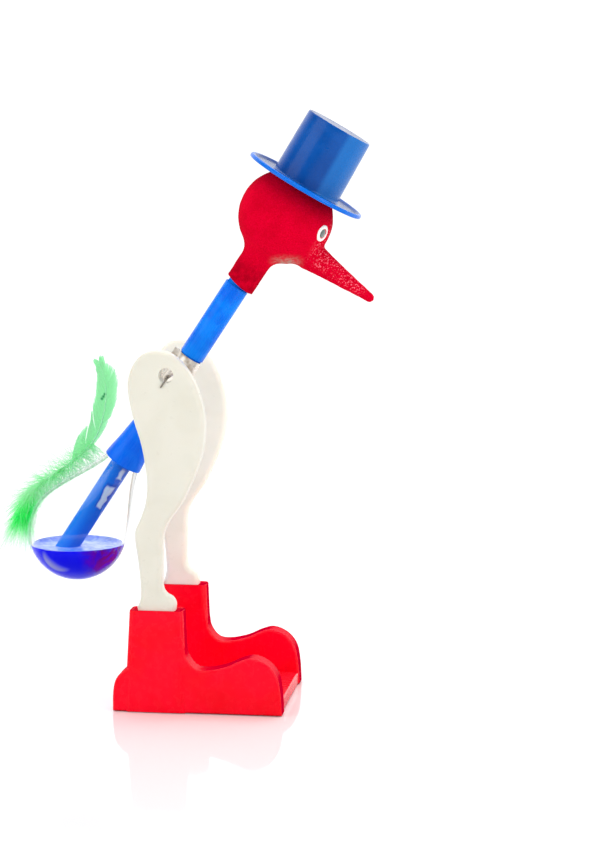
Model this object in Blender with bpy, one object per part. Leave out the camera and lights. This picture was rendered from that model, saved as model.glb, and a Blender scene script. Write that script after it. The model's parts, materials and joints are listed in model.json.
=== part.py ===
"""Drinking bird: a glass bird that rocks on a knife-edge clip between two legs in boots.

Frame: +X is the way the beak points, +Z is up, and Y = 0 is the plane between the legs. The origin
is on the table, straight below the rocking axis. The bird is modelled upright around its rocking
axis and hangs from an empty there, which leans it forward. Sizes are in millimetres.
"""

import math

import bmesh
import bpy
from mathutils import Vector

MM = 0.001

# Stand
HIP_HEIGHT = 84.0
LEG_SPACING = 33.4  # centre to centre
LEG_THICKNESS = 4.4
LEG_EDGE_RADIUS = 0.8
PLUG_BACK, PLUG_FRONT = -7.6, 1.6
PLUG_CLEARANCE = 0.5  # under the plug, in its socket
BOOT_WIDTH = 6.0
BOOT_HEIGHT = 25.9
BOOT_EDGE_RADIUS = 1.1
SHAFT_BACK, SHAFT_FRONT = -9.5, 3.9
SOCKET_WALL = 0.55
SOCKET_FLOOR = 13.0
PLATE_BACK, PLATE_FRONT = -12.6, 28.6
PLATE_HEIGHT = 3.2
PLATE_OVERLAP = 1.0  # how far the plate reaches into each boot
HIP_HOLE_RADIUS = 2.0
HIP_HOLE_RISE = 1.05  # the hole's centre above the knife edge

# Bird, along its axis from the rocking axis; up towards the head is positive
LEAN = 33.4  # degrees forward
GAP = 0.25
TUBE_OFFSET = 0.25  # the glass axis in front of the rocking axis
TUBE_RADIUS = 2.65
GLASS_WALL = 0.6
TUBE_END = -57.0
COLUMN_TOP = 30.0
BULB_CENTRE = -49.8
BULB_RADIUS = 12.65
BULB_WALL = 0.7
BULB_NECK_TOP, BULB_NECK_FOOT = -21.0, -24.5
BULB_NECK_RADIUS, BULB_FOOT_RADIUS = 3.55, 3.85
BULB_FLARE = (4.2, -30.2)  # the pull on the curve below the neck, as (radius, height)
BULB_CHEEK = -40.0  # the height of the pull on the curve above the widest place
HEAD_CENTRE = 48.0
HEAD_OFFSET = 0.8  # the felt head and the hat in front of the rocking axis
HEAD_RADIUS = 11.75
HEAD_GLASS_RADIUS = 9.7
TIP_OFF_TOP = 64.0
TIP_OFF_RADIUS = 1.2
CROWN_HOLE_RADIUS = 2.0  # in the felt, round the tip-off
FELT_NECK_END = 27.0
FELT_NECK_RADIUS = 3.95
CHIN_RADIUS = 4.85  # where the felt ball turns into the neck
SLEEVE_RADIUS = 3.2
UPPER_SLEEVE = (5.2, 26.6)
LOWER_SLEEVE = (-27.9, -5.0)
LOWER_SLEEVE_FLARE_START = -13.0
LOWER_SLEEVE_END_RADIUS = 5.1
SLEEVE_WALL = 0.3

# Clip
CLIP_SHEET = 0.3
CLIP_BAND = (-4.6, 4.8)
CLIP_TAB = 1.6
ARM_END = 19.5
ARM_DEPTH = 1.1
ARM_HALF_WIDTH = 0.55
TAIL_LENGTH = 2.3
TAIL_HALF_WIDTH = 0.45

# Hat
HAT_TILT = 3.4  # degrees back from the bird's axis
BRIM_HEIGHT = 57.15
BRIM_RADIUS = 15.7
BRIM_THICKNESS = 0.8
CROWN_HEIGHT = 17.0
CROWN_TOP_RADIUS = 8.7
CROWN_FOOT_RADIUS = 9.0
CROWN_FILLET = 0.5
HAT_WALL = 0.65
LIP_HEIGHT, LIP_WIDTH = 0.35, 1.4
HAT_ROUNDING = 0.3

# Beak and eyes
BEAK_AXIS = 43.75  # where the beak's line crosses the bird's axis
BEAK_DROOP = 1.6  # degrees towards the neck
BEAK_TIP = 30.9
BEAK_ROOT_RADIUS = 3.9
BEAK_TIP_RADIUS = 1.0
BEAK_TAPER = 0.85  # under 1, the beak thins faster near its root
BEAK_FLARE = 0.3
BEAK_START = 10.4
BEAK_FELT = 0.7
EYE_RADIUS = 2.35
EYE_THICKNESS = 0.5
PUPIL_RADIUS = 1.15
PUPIL_DOME = 0.25
EYE_YAW, EYE_PITCH = 27.0, 10.4  # degrees out from the beak's plane, and up towards the hat

# Liquid
LIQUID_DROP = 4.0  # the level below the bulb's centre
LIQUID_GAP = 0.4

# Feather, in the leaning bird's upright plane, as (x, z) above the table
QUILL_LINE = ((-41.5, 46.6), (-40.4, 51.0), (-36.6, 54.8), (-29.9, 59.4), (-23.2, 65.3),
              (-20.1, 72.5), (-19.4, 80.0), (-21.6, 88.0))
QUILL_RADIUS = 0.3
VANE_START = 0.52  # as a share of the quill's length
VANE_FRONT_WIDTH, VANE_REAR_WIDTH = 2.3, 2.6
VANE_THICKNESS = 0.5
DOWN_END = 0.45
DOWN_RADIUS, DOWN_TIP_RADIUS = 1.4, 0.5
GLUE_RADIUS, GLUE_HEIGHT = 2.1, 0.9
GLUE_RISE = 12.0  # degrees above level, at the back of the bulb

FINE_STEPS, ROUND_STEPS, SMALL_STEPS = 32, 28, 16


def finish(name, colour, roughness, metallic=0.0, transmission=0.0):
    material = bpy.data.materials.new(name)
    material.use_nodes = True
    shader = material.node_tree.nodes["Principled BSDF"]
    shader.inputs["Base Color"].default_value = (*colour, 1.0)
    shader.inputs["Roughness"].default_value = roughness
    shader.inputs["Metallic"].default_value = metallic
    shader.inputs["Transmission Weight"].default_value = transmission
    material.diffuse_color = (*colour, 1.0)
    return material


def clear_scene():
    for obj in list(bpy.data.objects):
        bpy.data.objects.remove(obj, do_unlink=True)


# Points


def arc(centre, radius, start, end, steps):
    """Points on an arc, its angles in degrees from the first axis towards the second."""
    angles = [math.radians(start + (end - start) * i / steps) for i in range(steps + 1)]
    return [(centre[0] + radius * math.cos(a), centre[1] + radius * math.sin(a)) for a in angles]


def bezier(a, b, c, d, steps):
    """Points on a cubic Bezier curve from a to d."""
    points = []
    for i in range(steps + 1):
        t = i / steps
        weights = ((1 - t) ** 3, 3 * t * (1 - t) ** 2, 3 * t * t * (1 - t), t ** 3)
        points.append(tuple(sum(w * p[k] for w, p in zip(weights, (a, b, c, d))) for k in (0, 1)))
    return points


def spline(knots, per_span):
    """Points on an open Catmull-Rom curve through the knots."""
    padded = [knots[0], *knots, knots[-1]]
    points = []
    for p, q, r, s in zip(padded, padded[1:], padded[2:], padded[3:]):
        for i in range(per_span):
            t = i / per_span
            points.append(tuple(
                q[k] + 0.5 * t * (r[k] - p[k] + t * (2 * p[k] - 5 * q[k] + 4 * r[k] - s[k]
                                                      + t * (3 * (q[k] - r[k]) + s[k] - p[k])))
                for k in (0, 1)))
    return [*points, tuple(knots[-1])]


def normals_2d(points):
    """The unit normal on the left of an open line, at each of its points."""
    found = []
    for i in range(len(points)):
        before, after = points[max(i - 1, 0)], points[min(i + 1, len(points) - 1)]
        along = Vector((after[0] - before[0], after[1] - before[1])).normalized()
        found.append((-along.y, along.x))
    return found


# Objects


def place(obj, material, parent=None, smooth_angle=40.0):
    bpy.context.scene.collection.objects.link(obj)
    obj.data.materials.append(material)
    obj.parent = parent
    obj.data.shade_smooth()
    obj.data.set_sharp_from_angle(angle=math.radians(smooth_angle))
    return obj


def put(obj, location, rotation=(0.0, 0.0, 0.0)):
    """Set an object's place in millimetres and its turn in degrees."""
    obj.location = Vector(location) * MM
    obj.rotation_euler = [math.radians(angle) for angle in rotation]
    return obj


def as_cutter(obj):
    obj.hide_render = True
    obj.display_type = "WIRE"
    return obj


def cut(obj, cutter, operation="DIFFERENCE"):
    modifier = obj.modifiers.new(cutter.name, "BOOLEAN")
    modifier.operation = operation
    modifier.object = as_cutter(cutter)


def turned(name, profile, material, parent=None, steps=ROUND_STEPS, ring=False):
    """A body turned about its own Z axis from (radius, height) points.

    The profile runs down the outer side; a ring's profile closes on itself up the inner side.
    """
    mesh = bpy.data.meshes.new(name)
    count = len(profile)
    edges = [(i, i + 1) for i in range(count - 1)] + ([(count - 1, 0)] if ring else [])
    mesh.from_pydata([(r * MM, 0.0, z * MM) for r, z in profile], edges, [])
    obj = place(bpy.data.objects.new(name, mesh), material, parent)
    screw = obj.modifiers.new("turn", "SCREW")
    screw.steps = screw.render_steps = steps
    screw.use_merge_vertices = True
    screw.merge_threshold = 0.00001
    screw.use_smooth_shade = True
    return obj


def extruded(name, outline, half_width, material, parent=None, edge_radius=0.0):
    """A flat outline in the XZ plane made half_width thick on each side of Y = 0."""
    mesh = bpy.data.meshes.new(name)
    bm = bmesh.new()
    face = bm.faces.new([bm.verts.new((x * MM, -half_width * MM, z * MM)) for x, z in outline])
    moved = bmesh.ops.extrude_face_region(bm, geom=[face])["geom"]
    bmesh.ops.translate(bm, vec=(0.0, 2 * half_width * MM, 0.0),
                        verts=[v for v in moved if isinstance(v, bmesh.types.BMVert)])
    bmesh.ops.recalc_face_normals(bm, faces=bm.faces[:])
    bm.to_mesh(mesh)
    bm.free()
    obj = place(bpy.data.objects.new(name, mesh), material, parent)
    if edge_radius:
        bevel = obj.modifiers.new("edges", "BEVEL")
        bevel.width = edge_radius * MM
        bevel.segments = 2
        bevel.limit_method = "ANGLE"
        bevel.angle_limit = math.radians(50.0)
    return obj


def swept(name, line, radii, depth_share, material, parent=None, sides=10):
    """A solid along a line in the XZ plane: elliptical rings, depth_share as deep in Y as in XZ."""
    mesh = bpy.data.meshes.new(name)
    bm = bmesh.new()
    rings = []
    for (x, z), (nx, nz), radius in zip(line, normals_2d(line), radii):
        ring = []
        for i in range(sides):
            angle = 2 * math.pi * i / sides
            out, side = radius * math.cos(angle), radius * depth_share * math.sin(angle)
            ring.append(bm.verts.new(((x + nx * out) * MM, side * MM, (z + nz * out) * MM)))
        rings.append(ring)
    for first, second in zip(rings, rings[1:]):
        for i in range(sides):
            j = (i + 1) % sides
            bm.faces.new((first[i], first[j], second[j], second[i]))
    bm.faces.new(rings[0])
    bm.faces.new(rings[-1])
    bmesh.ops.recalc_face_normals(bm, faces=bm.faces[:])
    bm.to_mesh(mesh)
    bm.free()
    return place(bpy.data.objects.new(name, mesh), material, parent)


# Stand


def boot_outline():
    heel = spline([(-14.2, 0.0), (-14.1, 4.7), (-13.4, 8.0), (-11.5, 10.3), (-10.1, 11.9)], 3)
    toe = spline([(4.1, 18.0), (4.5, 14.6), (6.8, 11.4), (10.1, 11.0), (14.6, 12.0), (18.4, 13.7),
                  (21.6, 14.4), (25.2, 12.9), (27.6, 9.9), (28.5, 5.5), (28.8, 0.0)], 3)
    return [*heel, (SHAFT_BACK, BOOT_HEIGHT), (SHAFT_FRONT, BOOT_HEIGHT), *toe]


def boots_base(material):
    """Both boots and the plate that joins them: one moulding, with a socket in each boot."""
    side = LEG_SPACING / 2
    base = extruded("boots_base", [(PLATE_BACK, 0.0), (PLATE_BACK, PLATE_HEIGHT),
                                   (PLATE_FRONT, PLATE_HEIGHT), (PLATE_FRONT, 0.0)],
                    side - BOOT_WIDTH / 2 + PLATE_OVERLAP, material)
    middle = (SHAFT_BACK + SHAFT_FRONT) / 2
    socket = (SHAFT_FRONT - SHAFT_BACK) / 2 - SOCKET_WALL
    for name, y in (("right", -side), ("left", side)):
        boot = extruded("boot_" + name, boot_outline(), BOOT_WIDTH / 2, material,
                        edge_radius=BOOT_EDGE_RADIUS)
        put(boot, (0.0, y, 0.0))
        cut(base, boot, "UNION")
        ceiling = 2 * BOOT_HEIGHT
        hollow = extruded("socket_" + name,
                          [(middle - socket, SOCKET_FLOOR), (middle + socket, SOCKET_FLOOR),
                           (middle + socket, ceiling), (middle - socket, ceiling)],
                          BOOT_WIDTH / 2 - SOCKET_WALL, material)
        put(hollow, (0.0, y, 0.0))
        cut(base, hollow)
    return base


def leg_outline():
    """A teardrop thigh, an ankle that bends back, and a plug with a small collar for the boot."""
    foot = SOCKET_FLOOR + PLUG_CLEARANCE
    back = spline([(PLUG_BACK, 27.0), (-7.0, 30.2), (-7.8, 38.3), (-8.5, 45.0), (-5.7, 52.4),
                   (-5.1, 58.2), (-6.5, 67.5), (-8.9, 74.9), (-9.9, 81.6), (-8.3, 88.0),
                   (-3.0, 90.9)], 4)
    front = spline([(0.75, 90.4), (5.7, 85.9), (8.9, 78.2), (9.3, 70.0), (7.2, 61.0), (3.6, 53.0),
                    (-1.1, 46.3), (-1.4, 38.5), (-1.9, 30.6), (PLUG_FRONT, 28.4)], 4)
    return [(PLUG_BACK, foot), *back, *front, (PLUG_FRONT, foot)]


def legs(material):
    for name, side in (("right", -1), ("left", 1)):
        leg = extruded("leg_" + name, leg_outline(), LEG_THICKNESS / 2, material,
                       edge_radius=LEG_EDGE_RADIUS)
        put(leg, (0.0, side * LEG_SPACING / 2, 0.0))
        top, bottom = LEG_THICKNESS, -LEG_THICKNESS
        hole = turned("hip_hole_" + name, [(0.0, top), (HIP_HOLE_RADIUS, top),
                                           (HIP_HOLE_RADIUS, bottom), (0.0, bottom)],
                      material, steps=SMALL_STEPS)
        put(hole, (0.0, side * LEG_SPACING / 2, HIP_HEIGHT + HIP_HOLE_RISE), (90.0, 0.0, 0.0))
        cut(leg, hole)


# Glass


def glass_stem(material, bird):
    """The head bulb and the tube below it, open at the tube's foot, with its tip-off on top."""
    neck = math.degrees(math.asin(TUBE_RADIUS / HEAD_GLASS_RADIUS))
    inner_radius = HEAD_GLASS_RADIUS - GLASS_WALL
    bore = TUBE_RADIUS - GLASS_WALL
    inner_neck = math.degrees(math.asin(bore / inner_radius))
    tip = math.degrees(math.asin(TIP_OFF_RADIUS / HEAD_GLASS_RADIUS))
    centre = (0.0, HEAD_CENTRE)
    profile = [(0.0, TIP_OFF_TOP), (TIP_OFF_RADIUS / 2, TIP_OFF_TOP - TIP_OFF_RADIUS / 2),
               *arc(centre, HEAD_GLASS_RADIUS, 90.0 - tip, neck - 90.0, 10),
               (TUBE_RADIUS, TUBE_END), (bore, TUBE_END),
               *arc(centre, inner_radius, inner_neck - 90.0, 90.0, 10)]
    return put(turned("glass_stem", profile, material, bird), (TUBE_OFFSET, 0.0, 0.0))


def bulb_shoulder(wall, steps):
    """From the neck down to the bulb's widest place, wall inside the outer surface."""
    radius = BULB_RADIUS - wall
    flare_radius, flare_height = BULB_FLARE
    return bezier((BULB_FOOT_RADIUS - wall, BULB_NECK_FOOT), (flare_radius - wall, flare_height - wall),
                  (radius, BULB_CHEEK), (radius, BULB_CENTRE), steps)


def glass_bulb(material, bird):
    """The pear-shaped lower bulb, open at its neck, where it is fused to the tube."""
    outer = [(BULB_NECK_RADIUS, BULB_NECK_TOP), *bulb_shoulder(0.0, 8),
             *arc((0.0, BULB_CENTRE), BULB_RADIUS, 0.0, -90.0, 8)[1:]]
    bore = TUBE_RADIUS + GAP
    inner = [(bore, BULB_NECK_TOP), *bulb_shoulder(BULB_WALL, 8),
             *arc((0.0, BULB_CENTRE), BULB_RADIUS - BULB_WALL, 0.0, -90.0, 8)[1:]]
    return put(turned("glass_bulb", outer + inner[::-1] + outer[:1], material, bird),
               (TUBE_OFFSET, 0.0, 0.0))


# Liquid


def liquid_column(material, bird):
    radius = TUBE_RADIUS - GLASS_WALL - GAP
    foot = TUBE_END + GAP
    profile = [(0.0, COLUMN_TOP), (radius, COLUMN_TOP), (radius, foot), (0.0, foot)]
    return put(turned("liquid_column", profile, material, bird, SMALL_STEPS), (TUBE_OFFSET, 0.0, 0.0))


def liquid_pool(material, bird):
    """The level pool, slotted so that the dipping tube can swing through it."""
    upright = bpy.data.objects.new("pool_pivot", None)
    bpy.context.scene.collection.objects.link(upright)
    upright.parent = bird
    put(upright, (TUBE_OFFSET, 0.0, BULB_CENTRE), (0.0, -LEAN, 0.0))
    radius = BULB_RADIUS - BULB_WALL - LIQUID_GAP
    edge = math.degrees(math.asin(LIQUID_DROP / radius))
    pool = turned("liquid_pool", [(0.0, -LIQUID_DROP), *arc((0.0, 0.0), radius, -edge, -90.0, 6)],
                  material, upright)
    reach = math.hypot(TUBE_END - BULB_CENTRE, TUBE_RADIUS) + LIQUID_GAP
    half = TUBE_RADIUS + LIQUID_GAP
    slot = turned("tube_slot", [(0.0, half), (reach, half), (reach, -half), (0.0, -half)],
                  material, upright)
    put(slot, (0.0, 0.0, 0.0), (90.0, 0.0, 0.0))
    cut(pool, slot)
    return pool


# Sleeves and clip


def sleeves(material, bird):
    bore = TUBE_RADIUS + GAP
    low, high = UPPER_SLEEVE
    upper = turned("sleeve_upper", [(SLEEVE_RADIUS, high), (SLEEVE_RADIUS, low), (bore, low), (bore, high)],
                   material, bird, ring=True)
    low, high = LOWER_SLEEVE
    foot_bore = LOWER_SLEEVE_END_RADIUS - SLEEVE_WALL
    lower = turned("sleeve_lower",
                   [(SLEEVE_RADIUS, high), (SLEEVE_RADIUS, LOWER_SLEEVE_FLARE_START),
                    (LOWER_SLEEVE_END_RADIUS, low), (foot_bore, low),
                    (bore, LOWER_SLEEVE_FLARE_START), (bore, high)], material, bird, ring=True)
    for sleeve in (upper, lower):
        put(sleeve, (TUBE_OFFSET, 0.0, 0.0))


def pivot_clip(material, bird):
    """A tin strip round the tube, crimped behind it, with a V-folded arm to each leg."""
    low, high = CLIP_BAND
    bore = TUBE_RADIUS + GAP
    outer = bore + CLIP_SHEET
    clip = turned("pivot_clip", [(outer, high), (outer, low), (bore, low), (bore, high)],
                  material, bird, ring=True)
    put(clip, (TUBE_OFFSET, 0.0, 0.0))
    back = -bore - CLIP_SHEET / 2
    tab = extruded("clip_tab",
                   [(back - CLIP_TAB, low + 3 * CLIP_SHEET), (back - CLIP_TAB, high - 3 * CLIP_SHEET),
                    (back, high - CLIP_SHEET), (back, low + CLIP_SHEET)], CLIP_SHEET, material, bird)
    put(tab, (TUBE_OFFSET, 0.0, 0.0))
    cut(clip, tab, "UNION")
    inner = ARM_HALF_WIDTH - CLIP_SHEET
    crest = ARM_DEPTH + CLIP_SHEET / 4
    chevron = [(0.0, 0.0), (ARM_HALF_WIDTH, ARM_DEPTH), (inner, crest), (0.0, 1.2 * CLIP_SHEET),
               (-inner, crest), (-ARM_HALF_WIDTH, ARM_DEPTH)]
    shoulder = ARM_HALF_WIDTH + CLIP_SHEET / 6
    tail = [(-TAIL_HALF_WIDTH, -TAIL_LENGTH), (TAIL_HALF_WIDTH, -TAIL_LENGTH),
            (shoulder, ARM_DEPTH), (-shoulder, ARM_DEPTH)]
    start = bore + CLIP_SHEET / 4
    for name, side in (("right", -1), ("left", 1)):
        arm = extruded("arm_" + name, chevron, (ARM_END - start) / 2, material, bird)
        put(arm, (0.0, side * (start + ARM_END) / 2, 0.0))
        cut(clip, arm, "UNION")
        end = extruded("tail_" + name, tail, CLIP_SHEET / 2, material, bird)
        put(end, (0.0, side * ARM_END, 0.0))
        cut(clip, end, "UNION")
    return clip


# Head


def head_cover(material, bird):
    """The flocked felt over the head bulb and the top of the tube, open at both ends."""
    centre = (0.0, HEAD_CENTRE)
    chin = math.degrees(math.asin(CHIN_RADIUS / HEAD_RADIUS))
    ball = arc(centre, HEAD_RADIUS, 90.0, chin - 90.0, 16)
    throat = bezier(ball[-1], (FELT_NECK_RADIUS, ball[-1][1] - 1.0), (FELT_NECK_RADIUS, ball[-1][1] - 2.0),
                    (FELT_NECK_RADIUS, ball[-1][1] - 4.0), 3)
    profile = [*ball, *throat[1:], (FELT_NECK_RADIUS, FELT_NECK_END), (0.0, FELT_NECK_END)]
    head = put(turned("head_cover", profile, material, bird, FINE_STEPS), (HEAD_OFFSET, 0.0, 0.0))
    cavity_radius = HEAD_GLASS_RADIUS + GAP
    bore = TUBE_RADIUS + GAP
    neck = math.degrees(math.asin(bore / cavity_radius))
    hole = math.degrees(math.asin(CROWN_HOLE_RADIUS / cavity_radius))
    ceiling, floor = HEAD_CENTRE + 2 * HEAD_RADIUS, FELT_NECK_END - bore
    cavity = turned("head_cavity",
                    [(0.0, ceiling), (CROWN_HOLE_RADIUS, ceiling),
                     *arc(centre, cavity_radius, 90.0 - hole, neck - 90.0, 12),
                     (bore, floor), (0.0, floor)], material, bird)
    put(cavity, (TUBE_OFFSET, 0.0, 0.0))
    cut(head, cavity)
    return head


def beak_radius(along):
    """The beak's radius at a distance from the bird's axis: it flares at the root, then tapers."""
    share = (along - HEAD_RADIUS) / (BEAK_TIP - HEAD_RADIUS)
    flare = BEAK_FLARE * max(0.0, 1.0 - (along - BEAK_START) / BEAK_ROOT_RADIUS) ** 2
    return BEAK_ROOT_RADIUS + (BEAK_TIP_RADIUS - BEAK_ROOT_RADIUS) * share ** BEAK_TAPER + flare


def beak(felt, core_material, bird):
    """The felt beak cover, hollow from its root, and the stiff cone inside it."""
    last = BEAK_TIP - BEAK_TIP_RADIUS
    stations = [HEAD_RADIUS + (last - HEAD_RADIUS) * i / 6 for i in range(7)]
    outside = [(beak_radius(s), s) for s in stations[::-1]]
    core_line = [(r - BEAK_FELT - GAP, s) for r, s in outside[1:-1]]
    hollow_line = [(r + GAP, s) for r, s in core_line]
    tip = arc((0.0, last), BEAK_TIP_RADIUS, 90.0, 18.0, 4)
    (mouth, _), (core_root, core_start) = (outside[-1], core_line[-1])
    turn = (0.0, 90.0 + BEAK_DROOP, 0.0)
    root = (0.0, 0.0, BEAK_AXIS)

    cover = turned("beak_cover", [*tip, *outside[1:], (mouth + BEAK_FLARE, BEAK_START), (0.0, BEAK_START)],
                   felt, bird, ROUND_STEPS)
    deep = BEAK_START - BEAK_ROOT_RADIUS
    hollow = turned("beak_hollow",
                    [(0.0, hollow_line[0][1] + GAP), (hollow_line[0][0], hollow_line[0][1] + GAP),
                     *hollow_line[1:], (mouth - BEAK_FELT, HEAD_RADIUS), (mouth - BEAK_FELT, deep),
                     (0.0, deep)], felt, bird, SMALL_STEPS)
    ball = turned("head_ball", arc((0.0, 0.0), HEAD_RADIUS + GAP, 90.0, -90.0, 20), felt, bird,
                  FINE_STEPS)
    put(ball, (HEAD_OFFSET, 0.0, HEAD_CENTRE))
    core = turned("beak_core",
                  [(0.0, core_line[0][1]), *core_line, (core_root, core_start - BEAK_FELT),
                   (0.0, core_start - BEAK_FELT)], core_material, bird, SMALL_STEPS)
    for piece in (cover, hollow, core):
        put(piece, root, turn)
    cut(cover, hollow)
    cut(cover, ball)
    return cover


def eyes(white, dark, bird):
    """On each side a white ring that follows the head's curve, with a dark pupil set in it."""
    seat = HEAD_RADIUS + GAP
    for name, side in (("right", -1), ("left", 1)):
        turn = (0.0, 90.0 - EYE_PITCH, side * EYE_YAW)
        centre = (HEAD_OFFSET, 0.0, HEAD_CENTRE)
        outer = math.degrees(math.asin(EYE_RADIUS / seat))
        inner = math.degrees(math.asin((PUPIL_RADIUS + GAP) / seat))
        ring = turned("eye_" + name,
                      [*arc((0.0, 0.0), seat + EYE_THICKNESS, 90.0 - inner, 90.0 - outer, 3),
                       *arc((0.0, 0.0), seat, 90.0 - outer, 90.0 - inner, 3)],
                      white, bird, SMALL_STEPS + 4, ring=True)
        top = seat + EYE_THICKNESS + PUPIL_DOME
        pupil = turned("pupil_" + name,
                       [(0.0, top), (PUPIL_RADIUS * 0.6, top - PUPIL_DOME * 0.4),
                        (PUPIL_RADIUS, top - 1.6 * PUPIL_DOME), (PUPIL_RADIUS, seat), (0.0, seat)],
                       dark, bird, SMALL_STEPS)
        put(ring, centre, turn)
        put(pupil, centre, turn)


def hat(material, bird):
    """A top hat moulded in one piece, open below, with a flat brim and a raised lip."""
    half, top, rounding = BRIM_THICKNESS / 2, CROWN_HEIGHT, HAT_ROUNDING
    lip_top = half + LIP_HEIGHT
    profile = [(0.0, top), (CROWN_TOP_RADIUS - rounding, top), (CROWN_TOP_RADIUS, top - rounding),
               (CROWN_FOOT_RADIUS, half + CROWN_FILLET), (CROWN_FOOT_RADIUS + CROWN_FILLET, half),
               (BRIM_RADIUS - LIP_WIDTH, half), (BRIM_RADIUS - LIP_WIDTH + rounding, lip_top),
               (BRIM_RADIUS - rounding, lip_top), (BRIM_RADIUS, half),
               (BRIM_RADIUS, rounding - half), (BRIM_RADIUS - rounding, -half),
               (CROWN_FOOT_RADIUS + rounding / 2, -half), (CROWN_FOOT_RADIUS - HAT_WALL, half + rounding),
               (CROWN_TOP_RADIUS - HAT_WALL, top - HAT_WALL), (0.0, top - HAT_WALL)]
    crown = turned("hat", profile, material, bird, FINE_STEPS)
    return put(crown, (HEAD_OFFSET, 0.0, BRIM_HEIGHT), (0.0, -HAT_TILT, 0.0))


# Feather


def feather(vane, quill_material, down_material, glue, bird):
    """A feather glued to the back of the bulb: quill, a vane on each side, and the down at its foot."""
    line = spline([(x, z - HIP_HEIGHT) for x, z in QUILL_LINE], 5)
    last = len(line) - 1
    normals = normals_2d(line)

    def shifted(index, distance):
        (x, z), (nx, nz) = line[index], normals[index]
        return (x + nx * distance, z + nz * distance)

    def upright(obj):
        """The feather's line is given with the bird leaning, so the lean is taken out here."""
        return put(obj, (0.0, 0.0, 0.0), (0.0, -LEAN, 0.0))

    radii = [QUILL_RADIUS * (1.25 - 0.75 * i / last) for i in range(last + 1)]
    upright(swept("feather_quill", line, radii, 1.0, quill_material, bird, sides=8))

    first = round(VANE_START * last)
    inside = QUILL_RADIUS + GAP
    for name, side, width in (("rear", 1, VANE_REAR_WIDTH), ("front", -1, VANE_FRONT_WIDTH)):
        near, far = [], []
        for i in range(first, last):
            share = (i - first) / (last - first)
            bulge = math.sin(math.pi * min(1.0, 0.12 + 0.88 * share)) ** 0.6
            near.append(shifted(i, side * inside))
            far.append(shifted(i, side * (inside + QUILL_RADIUS + width * bulge)))
        upright(extruded("feather_vane_" + name, near + far[::-1], VANE_THICKNESS / 2, vane, bird))

    end = round(DOWN_END * last)
    centre_line, down_radii = [], []
    for i in range(end + 1):
        bulge = math.sin(math.pi * (i + 1) / (end + 2)) ** 0.7
        radius = DOWN_TIP_RADIUS + (DOWN_RADIUS - DOWN_TIP_RADIUS) * bulge
        centre_line.append(shifted(i, radius + radii[0] + GAP))
        down_radii.append(radius)
    upright(swept("feather_down", centre_line, down_radii, 1.4, down_material, bird))

    seat = BULB_RADIUS + GAP
    spot = turned("feather_glue",
                  [(0.0, seat + GLUE_HEIGHT), (GLUE_RADIUS * 0.6, seat + GLUE_HEIGHT * 0.8),
                   (GLUE_RADIUS, seat), (GLUE_RADIUS, seat - GLUE_RADIUS), (0.0, seat - GLUE_RADIUS)],
                  glue, bird, SMALL_STEPS)
    glass = turned("glue_seat", arc((0.0, 0.0), seat, 90.0, -90.0, 20), glue, bird)
    bulb = (TUBE_OFFSET, 0.0, BULB_CENTRE)
    put(spot, bulb, (0.0, GLUE_RISE - 90.0 - LEAN, 0.0))
    put(glass, bulb, (0.0, GLUE_RISE - 90.0 - LEAN, 0.0))
    cut(spot, glass)


def main():
    clear_scene()
    red = finish("boot_red", (0.85, 0.01, 0.03), 0.25)
    ivory = finish("leg_ivory", (0.85, 0.83, 0.76), 0.4)
    tin = finish("clip_tin", (0.55, 0.5, 0.42), 0.35, metallic=1.0)
    glass = finish("clear_glass", (0.95, 0.97, 1.0), 0.02, transmission=1.0)
    liquid = finish("liquid_blue", (0.01, 0.03, 0.8), 0.05)
    sleeve_blue = finish("sleeve_blue", (0.0, 0.2, 0.85), 0.35)
    hat_blue = finish("hat_blue", (0.02, 0.12, 0.5), 0.25)
    felt = finish("felt_red", (0.55, 0.0, 0.02), 0.95)
    card = finish("beak_core", (0.6, 0.55, 0.45), 0.8)
    white = finish("eye_white", (0.9, 0.9, 0.88), 0.3)
    dark = finish("pupil_dark", (0.03, 0.05, 0.05), 0.15)
    vane = finish("vane_green", (0.3, 0.85, 0.45), 0.7)
    quill = finish("quill_green", (0.35, 0.75, 0.4), 0.5)
    down = finish("down_green", (0.02, 0.75, 0.15), 0.9)
    glue = finish("glue_clear", (0.85, 0.88, 0.8), 0.2)

    bird = bpy.data.objects.new("bird_pivot", None)
    bpy.context.scene.collection.objects.link(bird)
    put(bird, (0.0, 0.0, HIP_HEIGHT), (0.0, LEAN, 0.0))

    boots_base(red)
    legs(ivory)
    glass_stem(glass, bird)
    glass_bulb(glass, bird)
    liquid_column(liquid, bird)
    liquid_pool(liquid, bird)
    sleeves(sleeve_blue, bird)
    pivot_clip(tin, bird)
    head_cover(felt, bird)
    beak(felt, card, bird)
    eyes(white, dark, bird)
    hat(hat_blue, bird)
    feather(vane, quill, down, glue, bird)


main()
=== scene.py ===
"""Looks of the drinking bird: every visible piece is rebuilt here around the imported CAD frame.

Shapes are built in millimetres in a local frame and placed in metres. WORLD is the row frame. BIRD has its
origin on the rocking axis and its +Z along the leaning glass tube, towards the head. TUBE is the same frame,
moved onto the tube's own axis.
"""

import json
import math
import random

import bmesh
import bpy
import numpy as np
from mathutils import Matrix, Vector, noise


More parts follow.
